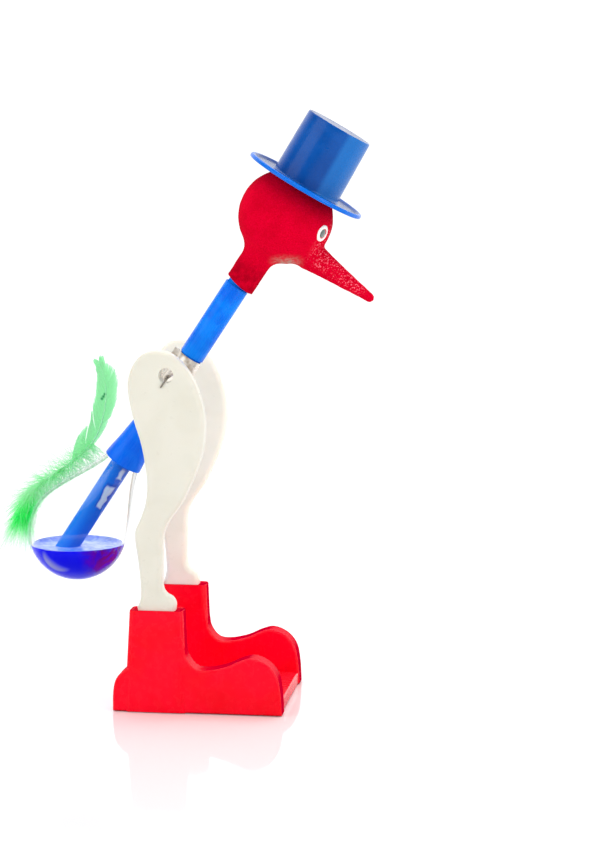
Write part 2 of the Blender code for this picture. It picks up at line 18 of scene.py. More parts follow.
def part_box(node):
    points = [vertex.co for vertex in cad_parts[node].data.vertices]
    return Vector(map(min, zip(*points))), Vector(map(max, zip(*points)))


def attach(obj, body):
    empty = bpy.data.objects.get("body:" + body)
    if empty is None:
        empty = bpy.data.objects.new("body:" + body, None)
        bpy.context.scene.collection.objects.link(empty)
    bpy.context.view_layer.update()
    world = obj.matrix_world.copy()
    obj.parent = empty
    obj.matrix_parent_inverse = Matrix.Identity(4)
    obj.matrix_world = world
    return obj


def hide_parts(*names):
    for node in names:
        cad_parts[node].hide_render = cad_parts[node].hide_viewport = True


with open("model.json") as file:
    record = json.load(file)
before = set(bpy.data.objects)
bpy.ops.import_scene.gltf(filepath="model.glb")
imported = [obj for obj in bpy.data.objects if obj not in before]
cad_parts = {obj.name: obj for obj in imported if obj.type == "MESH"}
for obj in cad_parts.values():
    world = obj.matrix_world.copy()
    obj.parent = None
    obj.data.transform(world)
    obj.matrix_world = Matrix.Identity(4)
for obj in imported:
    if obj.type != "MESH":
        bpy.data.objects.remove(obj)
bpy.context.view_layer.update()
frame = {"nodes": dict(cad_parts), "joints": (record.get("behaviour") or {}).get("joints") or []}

MM = 0.001
FINE, COARSE = 96, 48  # steps round a turned piece
SIDES = (("right", -1), ("left", 1))  # each side's name and the sign of its Y

# ---------------------------------------------------------------- frames and sizes from the CAD


def shift(x, y, z):
    return Matrix.Translation((x, y, z))


def turn(degrees, axis):
    return Matrix.Rotation(math.radians(degrees), 4, axis)


def middle(node):
    low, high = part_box(node)
    return (low + high) / 2


JOINTS = {joint["name"]: joint for joint in frame["joints"]}
HIP = Vector(JOINTS["rock"]["pos_m"])
BULB_CENTRE = Vector(JOINTS["liquid_level"]["pos_m"])
TUBE_AXIS = (middle("sleeve_upper") - BULB_CENTRE).normalized()
WORLD = Matrix.Identity(4)
BIRD = Matrix.Translation(HIP) @ Matrix.Rotation(math.atan2(TUBE_AXIS.x, TUBE_AXIS.z), 4, "Y")
BULB_OFFSET, _, BULB_HEIGHT = BIRD.inverted() @ BULB_CENTRE / MM
TUBE = BIRD @ shift(BULB_OFFSET * MM, 0.0, 0.0)
TUBE_INVERSE = TUBE.inverted()


def extent(node, matrix):
    """Lowest and highest corner of a CAD node in a local frame, in millimetres."""
    inverse = matrix.inverted()
    points = np.array([inverse @ v.co for v in frame["nodes"][node].data.vertices]) / MM
    return Vector(points.min(0)), Vector(points.max(0))


BULB_RADIUS = extent("glass_bulb", TUBE)[1].y
HEAD_LOW, HEAD_HIGH = extent("head_cover", BIRD)
HEAD_RADIUS = HEAD_HIGH.y
HEAD_OFFSET = (HEAD_LOW.x + HEAD_HIGH.x) / 2
LEG_Y = middle("leg_left").y / MM
HAT_BRIM_RADIUS = extent("hat", BIRD)[1].y

# Sizes in millimetres that the visual pieces share
BULB_WALL = 0.6
TUBE_RADIUS, TUBE_BORE = 2.75, 2.56
HEAD_CENTRE_HEIGHT = 48.0
NECK_RADIUS = 3.95
NECK_END = HEAD_LOW.z
LEG_HALF = 2.2
CROWN_HEIGHT, CROWN_TOP, CROWN_FOOT = 17.0, 8.7, 9.0  # the hat's crown: its height and its two radii

# ---------------------------------------------------------------- lines


def arc(centre, radius, start, end, steps):
    angles = [math.radians(start + (end - start) * i / steps) for i in range(steps + 1)]
    return [(centre[0] + radius * math.cos(a), centre[1] + radius * math.sin(a)) for a in angles]


def spline(knots, per_span):
    """Points on a Catmull-Rom curve through knots of any dimension."""
    knots = [Vector(k) for k in knots]
    padded = [knots[0], *knots, knots[-1]]
    points = []
    for p, q, r, s in zip(padded, padded[1:], padded[2:], padded[3:]):
        for i in range(per_span):
            t = i / per_span
            points.append(q + 0.5 * t * (r - p + t * (2 * p - 5 * q + 4 * r - s + t * (3 * (q - r) + s - p))))
    return [*points, knots[-1]]


def along_line(line, i):
    """The direction of a line of Vectors at its point i."""
    return (line[min(i + 1, len(line) - 1)] - line[max(i - 1, 0)]).normalized()


def inset(outline, distance):
    """A closed counter-clockwise outline moved inwards, with mitred corners."""
    moved_in = []
    for i, point in enumerate(outline):
        before, after = outline[i - 1], outline[(i + 1) % len(outline)]
        one = (Vector(point) - Vector(before)).normalized()
        two = (Vector(after) - Vector(point)).normalized()
        n_one, n_two = Vector((-one.y, one.x)), Vector((-two.y, two.x))
        mitre = (n_one + n_two) / max(0.4, 1.0 + n_one.dot(n_two))
        moved_in.append((point[0] + mitre.x * distance, point[1] + mitre.y * distance))
    return moved_in


def strip(path, thickness):
    """A closed outline round an open path, half the thickness to each side of it."""
    path = [Vector(point) for point in path]
    left, right = [], []
    for i, point in enumerate(path):
        along = along_line(path, i)
        normal = Vector((-along.y, along.x)) * thickness / 2
        left.append(point + normal)
        right.append(point - normal)
    return left + right[::-1]


# ---------------------------------------------------------------- meshes


def bridge(bm, rings, close_ring=True):
    """Faces between neighbouring rings of vertices with equal counts."""
    for low, high in zip(rings, rings[1:]):
        count = len(low)
        for i in range(count if close_ring else count - 1):
            j = (i + 1) % count
            bm.faces.new((low[i], low[j], high[j], high[i]))


def lofted(rings):
    """A closed body through rings of points."""
    bm = bmesh.new()
    rings = [[bm.verts.new(point) for point in ring] for ring in rings]
    bridge(bm, rings)
    bm.faces.new(rings[0])
    bm.faces.new(rings[-1])
    bmesh.ops.recalc_face_normals(bm, faces=bm.faces[:])
    return bm


def turned(profile, steps=FINE, ring=False):
    """A body turned about Z from (radius, height) points; a ring's profile closes on itself."""
    bm = bmesh.new()
    rows = []
    for r, z in profile:
        angles = [2 * math.pi * i / steps for i in range(steps)] if r >= 1e-6 else [0.0]
        rows.append([bm.verts.new((r * math.cos(a), r * math.sin(a), z)) for a in angles])
    pairs = list(zip(rows, rows[1:])) + ([(rows[-1], rows[0])] if ring else [])
    for one, two in pairs:
        for i in range(steps):
            j = (i + 1) % steps
            corners = [one[i % len(one)], one[j % len(one)], two[j % len(two)], two[i % len(two)]]
            corners = list(dict.fromkeys(corners))
            if len(corners) > 2:
                bm.faces.new(corners)
    bmesh.ops.recalc_face_normals(bm, faces=bm.faces[:])
    return bm


def slab(outline, half, radius, segments):
    """A flat XZ outline made thick in Y, its two rims rounded."""
    rings = []
    for side in (-1, 1):
        for k in range(segments + 1)[::-side]:
            angle = math.pi / 2 * k / segments
            y = side * (half - radius * (1 - math.cos(angle)))
            rings.append([(x, y, z) for x, z in inset(outline, radius * (1 - math.sin(angle)))])
    return lofted(rings)


def rounded_box(low, high, radius):
    bm = bmesh.new()
    size = Vector(high) - Vector(low)
    centre = (Vector(high) + Vector(low)) / 2
    bmesh.ops.create_cube(bm, size=1.0, matrix=Matrix.Translation(centre) @ Matrix.Diagonal((*size, 1.0)))
    bmesh.ops.bevel(bm, geom=bm.edges[:], offset=radius, segments=3, profile=0.5, affect="EDGES",
                    clamp_overlap=True)
    return bm


def moved(bm, matrix):
    bmesh.ops.transform(bm, verts=bm.verts[:], matrix=matrix)
    return bm


def loose(name, bm):
    mesh = bpy.data.meshes.new(name)
    bm.to_mesh(mesh)
    bm.free()
    obj = bpy.data.objects.new(name, mesh)
    bpy.context.scene.collection.objects.link(obj)
    return obj


def add(name, bm, matrix, material, slot, *nodes, body="bird", sharp=None, weighted=False):
    """An object from a mesh in millimetres of a local frame; it rides on a body and stands for CAD nodes."""
    bmesh.ops.scale(bm, vec=(MM, MM, MM), verts=bm.verts[:])
    obj = loose(name, bm)
    obj.data.materials.append(material)
    obj.data.shade_smooth()
    if sharp is not None:
        obj.data.set_sharp_from_angle(angle=math.radians(sharp))
    obj.matrix_world = matrix
    if weighted:
        modifier = obj.modifiers.new("normals", "WEIGHTED_NORMAL")
        modifier.keep_sharp = True
    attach(obj, body)
    if nodes:
        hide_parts(*nodes)


def as_bmesh(obj):
    """A loose object's mesh, taken out of the scene."""
    bm = bmesh.new()
    bm.from_mesh(obj.data)
    bpy.data.objects.remove(obj, do_unlink=True)
    return bm


def apply_modifier(obj, kind, **values):
    """Run one Blender modifier on a loose object and keep its result as the object's mesh."""
    modifier = obj.modifiers.new(kind.lower(), kind)
    for key, value in values.items():
        setattr(modifier, key, value)
    graph = bpy.context.evaluated_depsgraph_get()
    mesh = bpy.data.meshes.new_from_object(obj.evaluated_get(graph))
    obj.modifiers.clear()
    obj.data = mesh


def combined(one, other, operation):
    """The Boolean of two meshes, as a new mesh."""
    first, second = loose("first", one), loose("second", other)
    bpy.context.view_layer.update()
    apply_modifier(first, "BOOLEAN", operation=operation, object=second, solver="EXACT")
    bpy.data.objects.remove(second, do_unlink=True)
    return as_bmesh(first)


def joined(*meshes):
    """Several meshes as one, each left whole."""
    bm = bmesh.new()
    for other in meshes:
        mesh = bpy.data.meshes.new("joined")
        other.to_mesh(mesh)
        other.free()
        bm.from_mesh(mesh)
        bpy.data.meshes.remove(mesh)
    return bm


# ---------------------------------------------------------------- materials

GLASS_IOR = 1.47
WHITE = (1.0, 1.0, 1.0, 1.0)


def scaled(values, factor):
    return tuple(value * factor for value in values)


class Nodes:
    """A node tree and short ways to add nodes to it."""

    def __init__(self, tree):
        self.tree = tree

    def node(self, kind, output, inputs=None, **attributes):
        """A new shader node's output; an input is a value or another node's output."""
        made = self.tree.nodes.new("ShaderNode" + kind)
        for key, value in attributes.items():
            setattr(made, key, value)
        for key, value in (inputs or {}).items():
            if isinstance(value, bpy.types.NodeSocket):
                self.tree.links.new(value, made.inputs[key])
            else:
                made.inputs[key].default_value = value
        return made.outputs[output]

    def ramp(self, value, low, high, start=0.0, end=1.0):
        """Value taken smoothly from low..high to start..end, and held outside."""
        inputs = {"Value": value, "From Min": low, "From Max": high, "To Min": start, "To Max": end}
        return self.node("MapRange", "Result", inputs, interpolation_type="SMOOTHSTEP")

    def maths(self, operation, one, two=0.0):
        return self.node("Math", "Value", {0: one, 1: two}, operation=operation)

    def times(self, *factors):
        product = factors[0]
        for factor in factors[1:]:
            product = self.maths("MULTIPLY", product, factor)
        return product

    def shaders(self, factor, one, two):
        """Two surfaces mixed."""
        return self.node("MixShader", "Shader", {0: factor, 1: one, 2: two})

    def emission(self, colour, strength):
        return self.node("Emission", "Emission", {"Color": (*colour, 1.0), "Strength": strength})

    def transparent(self, tint):
        return self.node("BsdfTransparent", "BSDF", {"Color": (*tint, 1.0)})


class Look(Nodes):
    """A Principled material. Sizes and places in its methods are millimetres of its object's own frame."""

    def __init__(self, name, colour, roughness, **inputs):
        self.material = bpy.data.materials.new(name)
        self.material.use_nodes = True
        super().__init__(self.material.node_tree)
        self.inputs = self.tree.nodes["Principled BSDF"].inputs
        self.surface = self.tree.nodes["Principled BSDF"].outputs["BSDF"]
        self.coordinates = self.node("TexCoord", "Object")
        for key, value in {"base_color": (*colour, 1.0), "roughness": roughness, **inputs}.items():
            self.inputs[key.replace("_", " ").title().replace("Ior", "IOR")].default_value = value

    def feed(self, socket, source):
        self.tree.links.new(source, self.inputs[socket])

    def base(self):
        """What feeds the base colour so far."""
        return self.inputs["Base Color"].links[0].from_socket

    def paint(self, colour, glow=0.0):
        """Feed the base colour; a share of it may glow, as painted light."""
        self.feed("Base Color", colour)
        if glow:
            self.feed("Emission Color", colour)
            self.inputs["Emission Strength"].default_value = glow

    def show(self, surface):
        self.tree.links.new(surface, self.tree.nodes["Material Output"].inputs["Surface"])

    def clear_shadow(self, tint, surface=None):
        """Let light through as coloured shade, as thin clear pieces do."""
        shadow = self.node("LightPath", "Is Shadow Ray")
        self.show(self.shaders(shadow, surface or self.surface, self.transparent(tint)))

    def stretched(self, scale):
        return self.node("Mapping", "Vector", {"Vector": self.coordinates, "Scale": scale})

    def noise(self, size, detail, stretch=(1.0, 1.0, 1.0), distortion=0.0):
        """Noise between 0 and 1 whose features are about the given size."""
        return self.node("TexNoise", "Fac", {"Vector": self.stretched(stretch), "Scale": 1.0 / (size * MM),
                                             "Detail": detail, "Distortion": distortion})

    def tint(self, one, two, *factors):
        """Colour one taken towards colour two by the product of the factors; a colour may be a socket."""
        colours = [(*c, 1.0) if isinstance(c, tuple) else c for c in (one, two)]
        return self.node("Mix", 2, {0: self.times(*factors), 6: colours[0], 7: colours[1]}, data_type="RGBA")

    def facing(self, blend=0.5):
        """0 where the surface faces the eye, 1 where it is seen edge on."""
        return self.node("LayerWeight", "Facing", {"Blend": blend})

    def axis(self, name):
        return self.times(self.node("SeparateXYZ", name, {"Vector": self.coordinates}), 1.0 / MM)

    def distance(self, point=(0.0, 0.0, 0.0), flatten=(1.0, 1.0, 1.0)):
        """Distance from a point; flatten 0 leaves an axis out."""
        ends = {0: self.stretched(flatten), 1: scaled(point, MM)}
        return self.times(self.node("VectorMath", "Value", ends, operation="DISTANCE"), 1.0 / MM)

    def near(self, point, radius):
        """1 at a point, falling to 0 at the radius."""
        return self.ramp(self.distance(point), 0.0, radius, 1.0, 0.0)

    def bump(self, height, depth, strength=1.0):
        """A bump of the given depth, on top of any bump before it; gives the new normal."""
        inputs = {"Height": height, "Distance": depth * MM, "Strength": strength}
        if self.inputs["Normal"].is_linked:
            inputs["Normal"] = self.inputs["Normal"].links[0].from_socket
        normal = self.node("Bump", "Normal", inputs)
        self.feed("Normal", normal)
        return normal


def moulded(name, colour, dark, roughness, coat, **inputs):
    """Glossy moulded plastic: faint flow marks in its colour and shine, and a slight orange peel."""
    look = Look(name, colour, roughness, **{
        "specular_ior_level": 0.35, "subsurface_radius": (1.0, 0.7, 0.5), "subsurface_scale": 1.2 * MM,
        "coat_weight": coat, "coat_roughness": 0.04, **inputs})
    look.paint(look.tint(colour, dark, look.ramp(look.noise(9.0, 2.0, distortion=0.6), 0.35, 0.75)))
    look.feed("Roughness", look.ramp(look.noise(1.6, 4.0), 0.3, 0.7, roughness * 0.8, roughness * 1.3))
    look.bump(look.noise(2.4, 1.0), 0.012)
    return look


def make_red_plastic(name, sheen, edge):
    """Scarlet; where it is seen at a shallow angle it takes the edge colour, painted shade on the boots'
    rims, and mirrors by the sheen.
    """
    look = moulded(name, (1.0, 0.0, 0.02), (0.92, 0.0, 0.011), 0.24, 0.0)
    facing = look.facing()
    look.feed("Specular IOR Level", look.ramp(facing, 0.35, 0.80, 0.17, sheen))
    # painted shade: the colour turns to the edge colour where the surface is seen edge on
    look.paint(look.tint(look.base(), edge, look.ramp(facing, 0.62, 0.86)))
    return look.material


def make_ivory_plastic(name, shade):
    """Slightly translucent, and a share of its colour glows as painted light, so that a leg stays warm and
    light even in shadow; each leg has its own shade, a painted brightness.
    """
    light, dark = (0.70, 0.68, 0.595), (0.665, 0.645, 0.555)
    look = moulded(name, scaled(light, shade), scaled(dark, shade), 0.34, 0.1, subsurface_weight=0.3)
    # painted light: a share of the colour glows
    look.paint(look.base(), 0.14)
    return look.material


def make_hat_plastic():
    """Royal blue with fine scuffs, painted shade where it is seen edge on, and a painted reflection of a
    window's light on the crown; azure at the brim's edge.
    """
    look = moulded("hat_plastic", (0.0, 0.080, 0.37), (0.0, 0.060, 0.30), 0.24, 0.03, specular_ior_level=0.2)
    # painted shade: darker where the hat is seen edge on
    colour = look.tint(look.base(), (0.0, 0.03, 0.16), look.ramp(look.facing(), 0.80, 0.97, 0.0, 0.8))
    radius = look.distance(flatten=(1.0, 1.0, 0.0))
    wall = look.times(look.ramp(radius, CROWN_TOP - 0.9, CROWN_TOP - 0.5),
                      look.ramp(radius, CROWN_FOOT + 0.5, CROWN_FOOT + 0.1))
    # painted reflection: a window's light, as a pale band on the front of the crown's wall
    front = look.ramp(look.axis("X"), 0.36 * CROWN_TOP, 0.54 * CROWN_TOP, 0.0, 0.5)
    colour = look.tint(colour, (0.02, 0.22, 0.64), front, wall)
    rim = look.ramp(radius, HAT_BRIM_RADIUS - 1.1, HAT_BRIM_RADIUS - 0.2)
    look.paint(look.tint(colour, (0.0, 0.145, 0.68), rim))
    look.bump(look.ramp(look.noise(0.35, 5.0, stretch=(1.0, 1.0, 0.12)), 0.62, 0.75), 0.006)
    return look.material


def make_sleeve_plastic():
    """Thin extruded tubing with fine lengthwise die lines, painted a deeper blue below the clip as the shade
    of the legs.
    """
    look = Look("sleeve_plastic", (0.0, 0.22, 0.95), 0.28, specular_ior_level=0.14, subsurface_weight=0.15,
                subsurface_radius=(0.2, 0.7, 1.0), subsurface_scale=1.0 * MM)
    colour = look.tint((0.0, 0.215, 0.90), (0.0, 0.13, 0.76), look.ramp(look.noise(5.0, 2.0), 0.35, 0.7))
    # painted shade: the tubing darkens below the clip, where the legs shade it
    look.paint(look.tint(colour, (0.0, 0.10, 0.80), look.ramp(look.axis("Z"), -8.0, -14.0, 0.0, 0.6)))
    lines = look.noise(0.35, 2.0, stretch=(1.0, 1.0, 0.02))
    look.feed("Roughness", look.ramp(lines, 0.3, 0.7, 0.22, 0.36))
    look.bump(lines, 0.01)
    return look.material


def make_tin():
    """Bright tinned strip, brushed lengthwise, with brownish flecks, and its ends painted dark as the shade
    inside the legs' holes.
    """
    look = Look("tin", (0.84, 0.80, 0.74), 0.32, metallic=0.55)
    dull = look.noise(2.6, 2.0)
    colour = look.tint((0.84, 0.79, 0.72), (0.42, 0.33, 0.24), look.ramp(dull, 0.45, 0.72))
    # painted shade: the arms' ends and tails, inside the legs' holes, are painted dark
    ends = look.ramp(look.maths("ABSOLUTE", look.axis("Y")), 16.8, 18.6)
    look.paint(look.tint(colour, (0.27, 0.24, 0.20), ends))
    look.feed("Roughness", look.ramp(dull, 0.3, 0.75, 0.25, 0.5))
    look.bump(look.noise(0.4, 3.0, stretch=(1.0, 1.0, 0.08)), 0.01)
    return look.material


def make_glass(name, mirror, shine, gain):
    """Thin blown glass: it bends what is behind it, and mirrors the room a little, with a faint glow as a
    painted reflection of a bright room.

    The mirror factor holds its reflections down, and the gain makes up for the light they take away.
    """
    look = Look(name, (1.0, 1.0, 1.0), 0.0)
    normal = look.bump(look.noise(9.0, 1.0), 0.05, 0.4)
    bent = {"IOR": GLASS_IOR, "Normal": normal}
    fresnel = look.node("Fresnel", "Fac", bent)
    through = look.node("BsdfRefraction", "BSDF",
                        {"Color": (gain, gain, gain, 1.0), "Roughness": 0.0, **bent})
    gloss = look.node("BsdfGlossy", "BSDF", {"Color": WHITE, "Roughness": 0.03, "Normal": normal})
    # painted reflection: a faint glow stands in for a bright room mirrored in the glass
    room = look.emission((0.92, 0.96, 1.0), shine)
    mirrored = look.node("AddShader", "Shader", {0: gloss, 1: room})
    look.clear_shadow((0.96, 0.97, 0.975), look.shaders(look.times(fresnel, mirror), through, mirrored))
    return look.material


def pane(look, up, across, foot, top, inner, outer):
    """1 inside a soft-edged patch on the near side of the tube, and 0 outside it."""
    return look.times(look.ramp(look.axis("Y"), 0.4, -0.6),
                      look.ramp(up, foot, foot + 0.8), look.ramp(up, top, top - 0.8),
                      look.ramp(across, inner, inner + 0.35), look.ramp(across, outer, outer - 0.25))


def make_column_liquid():
    """Dyed liquid in the tube, azure because there is little of it, with a window's light painted as a
    reflection in its glass, painted shade round it and across the tube, and a painted glow.
    """
    look = Look("column_dye", (0.0, 0.20, 0.90), 0.3, specular_ior_level=0.05)
    across, up = look.axis("X"), look.axis("Z")
    # painted shade: the colour darkens across the tube, away from the key light
    colour = look.tint((0.0, 0.235, 0.92), (0.0, 0.135, 0.80), look.ramp(across, -2.4, 2.4))
    cloud = look.noise(5.0, 3.0, stretch=(1.0, 1.0, 0.25), distortion=0.8)
    colour = look.tint(colour, (0.0, 0.10, 0.75), look.ramp(cloud, 0.5, 0.75, 0.0, 0.5))
    wave = look.times(look.maths("SUBTRACT", look.noise(4.2, 1.0, distortion=0.6), 0.5), 1.5)
    broken = (look, look.maths("ADD", up, wave), look.maths("ADD", across, wave))
    # painted shade: a darker patch round the painted window reflection
    colour = look.tint(colour, (0.0, 0.08, 0.62), pane(*broken, -42.0, -33.4, -0.2, 2.35), 0.75)
    # painted reflection: two pale patches of a window's light; the whole colour also glows a little as
    # painted light
    low, high = pane(*broken, -41.6, -34.2, 0.2, 2.0), pane(*broken, -32.4, -28.6, 0.9, 2.2)
    look.paint(look.tint(colour, (0.62, 0.76, 1.0), look.maths("MAXIMUM", low, high), 0.95), 0.22)
    look.bump(look.noise(6.0, 1.0), 0.02, 0.3)
    return look.material


def make_pool_liquid():
    """The deep liquid: almost opaque blue, painted wine red where light crosses its far side, painted pale on
    top as a reflection, and glowing a little as painted light.

    The bulb's glass bends light, so its outline shows a part of the pool well in from the pool's own edge.
    """
    look = Look("pool_dye", (0.0, 0.0, 0.72), 0.03, ior=1.36, transmission_weight=0.1,
                specular_ior_level=0.06)
    blotch = look.ramp(look.noise(3.4, 3.0, distortion=1.2), 0.34, 0.62, 0.35, 1.0)
    # painted light: wine red in blotches towards the side where light crosses the pool
    colour = look.tint((0.0, 0.0, 0.80), (0.15, 0.0, 0.20), look.ramp(look.axis("X"), 2.0, 8.5), blotch)
    rim = look.ramp(look.facing(), 0.16, 0.23)
    # painted light: a pale crescent at the pool's rim, where the thick glass below catches light
    painted_crescent = look.ramp(look.near((-3.2, -10.0, -5.8), 5.8), 0.1, 0.4)
    colour = look.tint(colour, (0.36, 0.38, 0.62), painted_crescent, rim, 0.9)
    # painted shade: darker towards the foot of the pool's rim
    foot_shade = look.ramp(look.near((2.2, -9.6, -6.6), 3.4), 0.1, 0.5)
    colour = look.tint(colour, (0.0, 0.0, 0.22), foot_shade, rim, 0.9)
    # painted reflection: the top surface shows a pale sky
    painted_sky = look.tint((0.33, 0.44, 0.80), (0.17, 0.26, 0.78),
                    look.ramp(look.noise(2.6, 3.0, distortion=1.0), 0.35, 0.65))
    under = look.near((-0.8, -6.5, -4.6), 6.5)  # the tube, seen under the surface
    painted_sky = look.tint(painted_sky, (0.01, 0.17, 0.80), under, look.ramp(look.noise(1.1, 3.0), 0.34, 0.6), 0.85)
    rise = look.node("SeparateXYZ", "Z", {"Vector": look.node("NewGeometry", "Normal")})
    # the top surface takes the painted sky, and the colour glows a little as painted light
    look.paint(look.tint(colour, painted_sky, look.ramp(rise, 0.55, 0.9)), 0.38)
    look.bump(look.noise(6.0, 1.0), 0.02, 0.3)
    look.clear_shadow((0.35, 0.45, 0.9))
    return look.material


def make_felt():
    """Flocked felt: short pile in the colour and the bump, painted shade on the lower neck and where it is
    seen edge on, rubbed pale under the chin, with pale specks along the top of the beak.
    """
    look = Look("felt", (0.70, 0.0, 0.02), 1.0, specular_ior_level=0.02)
    pile, cloud = look.noise(0.32, 3.0), look.noise(4.5, 3.0)
    along, up = look.axis("X"), look.axis("Z")
    colour = look.tint((0.60, 0.0, 0.014), (0.74, 0.0, 0.030), look.ramp(pile, 0.3, 0.75))
    colour = look.tint(colour, (0.50, 0.0, 0.012), look.ramp(cloud, 0.42, 0.72, 0.0, 0.5))
    # painted shade: the neck darkens, mottled, towards its foot below the head
    neck_shade_mottle = look.ramp(look.noise(1.5, 3.0), 0.3, 0.65, 0.35, 1.0)
    colour = look.tint(colour, (0.30, 0.0, 0.009), look.ramp(up, 31.0, 36.5, 1.0, 0.0), neck_shade_mottle, 0.75)
    # painted shade: darker where the felt is seen edge on
    colour = look.tint(colour, (0.36, 0.0, 0.010), look.ramp(look.facing(0.35), 0.45, 1.0, 0.0, 0.55))
    worn = look.ramp(look.noise(0.9, 4.0), 0.36, 0.62, 0.25, 1.0)
    colour = look.tint(colour, (0.42, 0.29, 0.23), look.near(CHIN_PATCH, 5.2), worn)
    ridge = look.ramp(look.maths("ADD", up, look.times(along, 0.03)), 41.6, 43.6)
    specks = look.ramp(look.noise(0.42, 1.0), 0.55, 0.66)
    patches = look.ramp(look.noise(2.2, 2.0), 0.34, 0.55, 0.15, 1.0)
    look.paint(look.tint(colour, (0.95, 0.14, 0.20), specks, patches, ridge,
                         look.ramp(along, 10.5, 13.0), look.ramp(along, 25.5, 29.0, 1.0, 0.0)))
    look.bump(pile, 0.07)
    look.bump(look.noise(0.9, 3.0), 0.09)
    return look.material


def make_eye_white():
    return moulded("eye_white", (0.90, 0.90, 0.86), (0.85, 0.84, 0.79), 0.25, 0.4).material


def make_pupil():
    look = Look("pupil", (0.05, 0.075, 0.065), 0.08, coat_weight=0.8)
    look.paint(look.tint((0.06, 0.09, 0.075), (0.12, 0.16, 0.14), look.ramp(look.noise(0.8, 3.0), 0.35, 0.7)))
    look.bump(look.noise(1.5, 1.0), 0.01)
    return look.material


def make_barbs(name, light, deep, places, reach, clear):
    """Dyed barbs that let light through, deeper in colour near some places and paler where marked; a share of
    the colour glows as painted light.
    """
    look = Look(name, light, 0.8, specular_ior_level=0.1)
    strand = look.noise(0.5, 3.0)
    colour = look.tint(light, scaled(light, 0.8), look.ramp(strand, 0.3, 0.7, 0.0, 0.3))
    pale = look.node("Attribute", "Fac", attribute_name="pale")
    colour = look.tint(colour, tuple(0.45 + 0.55 * c for c in light), pale)
    # deeper colour near the places: the down's own deep dye at its root, and a painted shadow of the quill on
    # the vane
    for place in places:
        colour = look.tint(colour, deep, look.near(place, reach))
    # painted light: a share of the colour glows, to brighten the barbs as strong light through them would
    look.paint(colour, 0.10)
    look.bump(strand, 0.03)
    both = look.shaders(0.5, look.surface, look.node("BsdfTranslucent", "BSDF", {"Color": colour}))
    look.show(look.shaders(look.ramp(pale, 0.0, 1.0, *clear), both, look.transparent((1.0, 1.0, 1.0))))
    return look.material


def make_quill():
    look = Look("quill", (0.55, 0.86, 0.60), 0.35, subsurface_weight=0.3, subsurface_scale=0.4 * MM)
    rings = look.noise(0.6, 3.0)
    look.paint(look.tint((0.22, 0.72, 0.36), (0.45, 0.86, 0.55), rings))
    look.bump(rings, 0.02)
    return look.material


def make_glue():
    look = Look("glue", (0.90, 0.93, 0.86), 0.12, transmission_weight=0.8, ior=1.45)
    look.bump(look.noise(0.9, 2.0), 0.05)
    look.feed("Roughness", look.ramp(look.noise(0.7, 2.0), 0.3, 0.7, 0.05, 0.25))
    look.clear_shadow((0.9, 0.93, 0.88))
    return look.material


# ---------------------------------------------------------------- stand

SHAFT_TOP = 25.9
SHAFT_LEVELS = ((0.0, -11.2, 4.9), (6.0, -10.9, 4.7), (12.0, -10.6, 4.4), (18.0, -10.25, 4.15),
                (SHAFT_TOP - 0.2, -9.8, 3.85))  # height, back and front
SHAFT_CORNER = 1.5
BOOT_HALF, FOOT_HALF, FOOT_EDGE = 3.0, 2.85, 0.65
RIM_WALL = 0.6
PLATE_BACK, PLATE_FRONT, PLATE_HEIGHT, PLATE_EDGE = -12.4, 28.5, 3.2, 0.45
PLATE_OVERLAP = 0.8  # how far the plate runs into each foot
HEEL = ((-14.2, 0.0), (-14.1, 4.7), (-13.4, 8.0), (-11.5, 10.3), (-9.0, 11.9))
INSIDE_SHAFT = ((-7.0, 13.0), (0.0, 20.5))
VAMP = ((3.6, 21.0), (4.1, 17.0), (4.7, 14.0), (6.8, 11.4), (10.1, 11.0), (14.6, 12.0), (18.4, 13.7),
        (21.6, 14.4), (25.2, 12.9), (27.6, 9.9), (28.5, 5.5), (28.8, 0.0))
LEG_BACK = ((-7.6, 14.0), (-7.6, 20.0), (-7.75, 25.6), (-7.9, 26.6), (-7.2, 28.2), (-7.0, 31.5), (-7.6, 38.3),
            (-8.4, 45.0), (-6.9, 49.0), (-5.5, 53.4), (-5.2, 58.8), (-6.4, 67.0), (-8.6, 74.4), (-9.8, 80.6),
            (-9.6, 84.6), (-8.0, 88.3), (-5.4, 90.5), (-2.2, 91.1))
LEG_FRONT = ((1.2, 90.2), (4.2, 87.6), (6.8, 83.6), (8.8, 78.0), (9.5, 72.6), (8.9, 66.2), (6.9, 60.2),
             (3.6, 53.0), (0.2, 48.2), (-1.2, 44.6), (-1.35, 38.5), (-1.5, 32.0), (-0.6, 30.0), (0.9, 29.1),
             (1.75, 27.6), (1.7, 25.6), (1.6, 20.0), (1.6, 14.0))
LEG_EDGE = 1.25
HOLE_RADIUS, HOLE_RISE, HOLE_REACH = 1.9, 1.05, 4.0
RIM_STEPS = 6  # steps round the rounded edge of a boot or leg
STAND = {"body": "stand", "sharp": 50, "weighted": True}  # what the pieces of the stand share


def leg_place(side):
    return shift(0.0, side * LEG_Y * MM, 0.0)


def rounded_ring(back, front, half, radius, height):
    """A level rectangle with rounded corners."""
    corners = ((front - radius, half - radius, 0), (back + radius, half - radius, 90),
               (back + radius, radius - half, 180), (front - radius, radius - half, 270))
    return [(x, y, height) for cx, cy, start in corners
            for x, y in arc((cx, cy), radius, start, start + 90, RIM_STEPS)]


def boot_shaft():
    """The upright of the boot, standing slightly proud of the foot, with its socket open on top."""
    back, front = SHAFT_LEVELS[-1][1:]
    levels = [(z, b, f, 0.0) for z, b, f in SHAFT_LEVELS]
    levels += [(SHAFT_TOP - drop, back, front, inwards) for drop, inwards in
               ((0.0, 0.15), (0.0, RIM_WALL), (0.1, RIM_WALL + 0.1), (0.12, RIM_WALL + 0.3))]
    return lofted([rounded_ring(b + d, f - d, BOOT_HALF - d, SHAFT_CORNER - d, z) for z, b, f, d in levels])


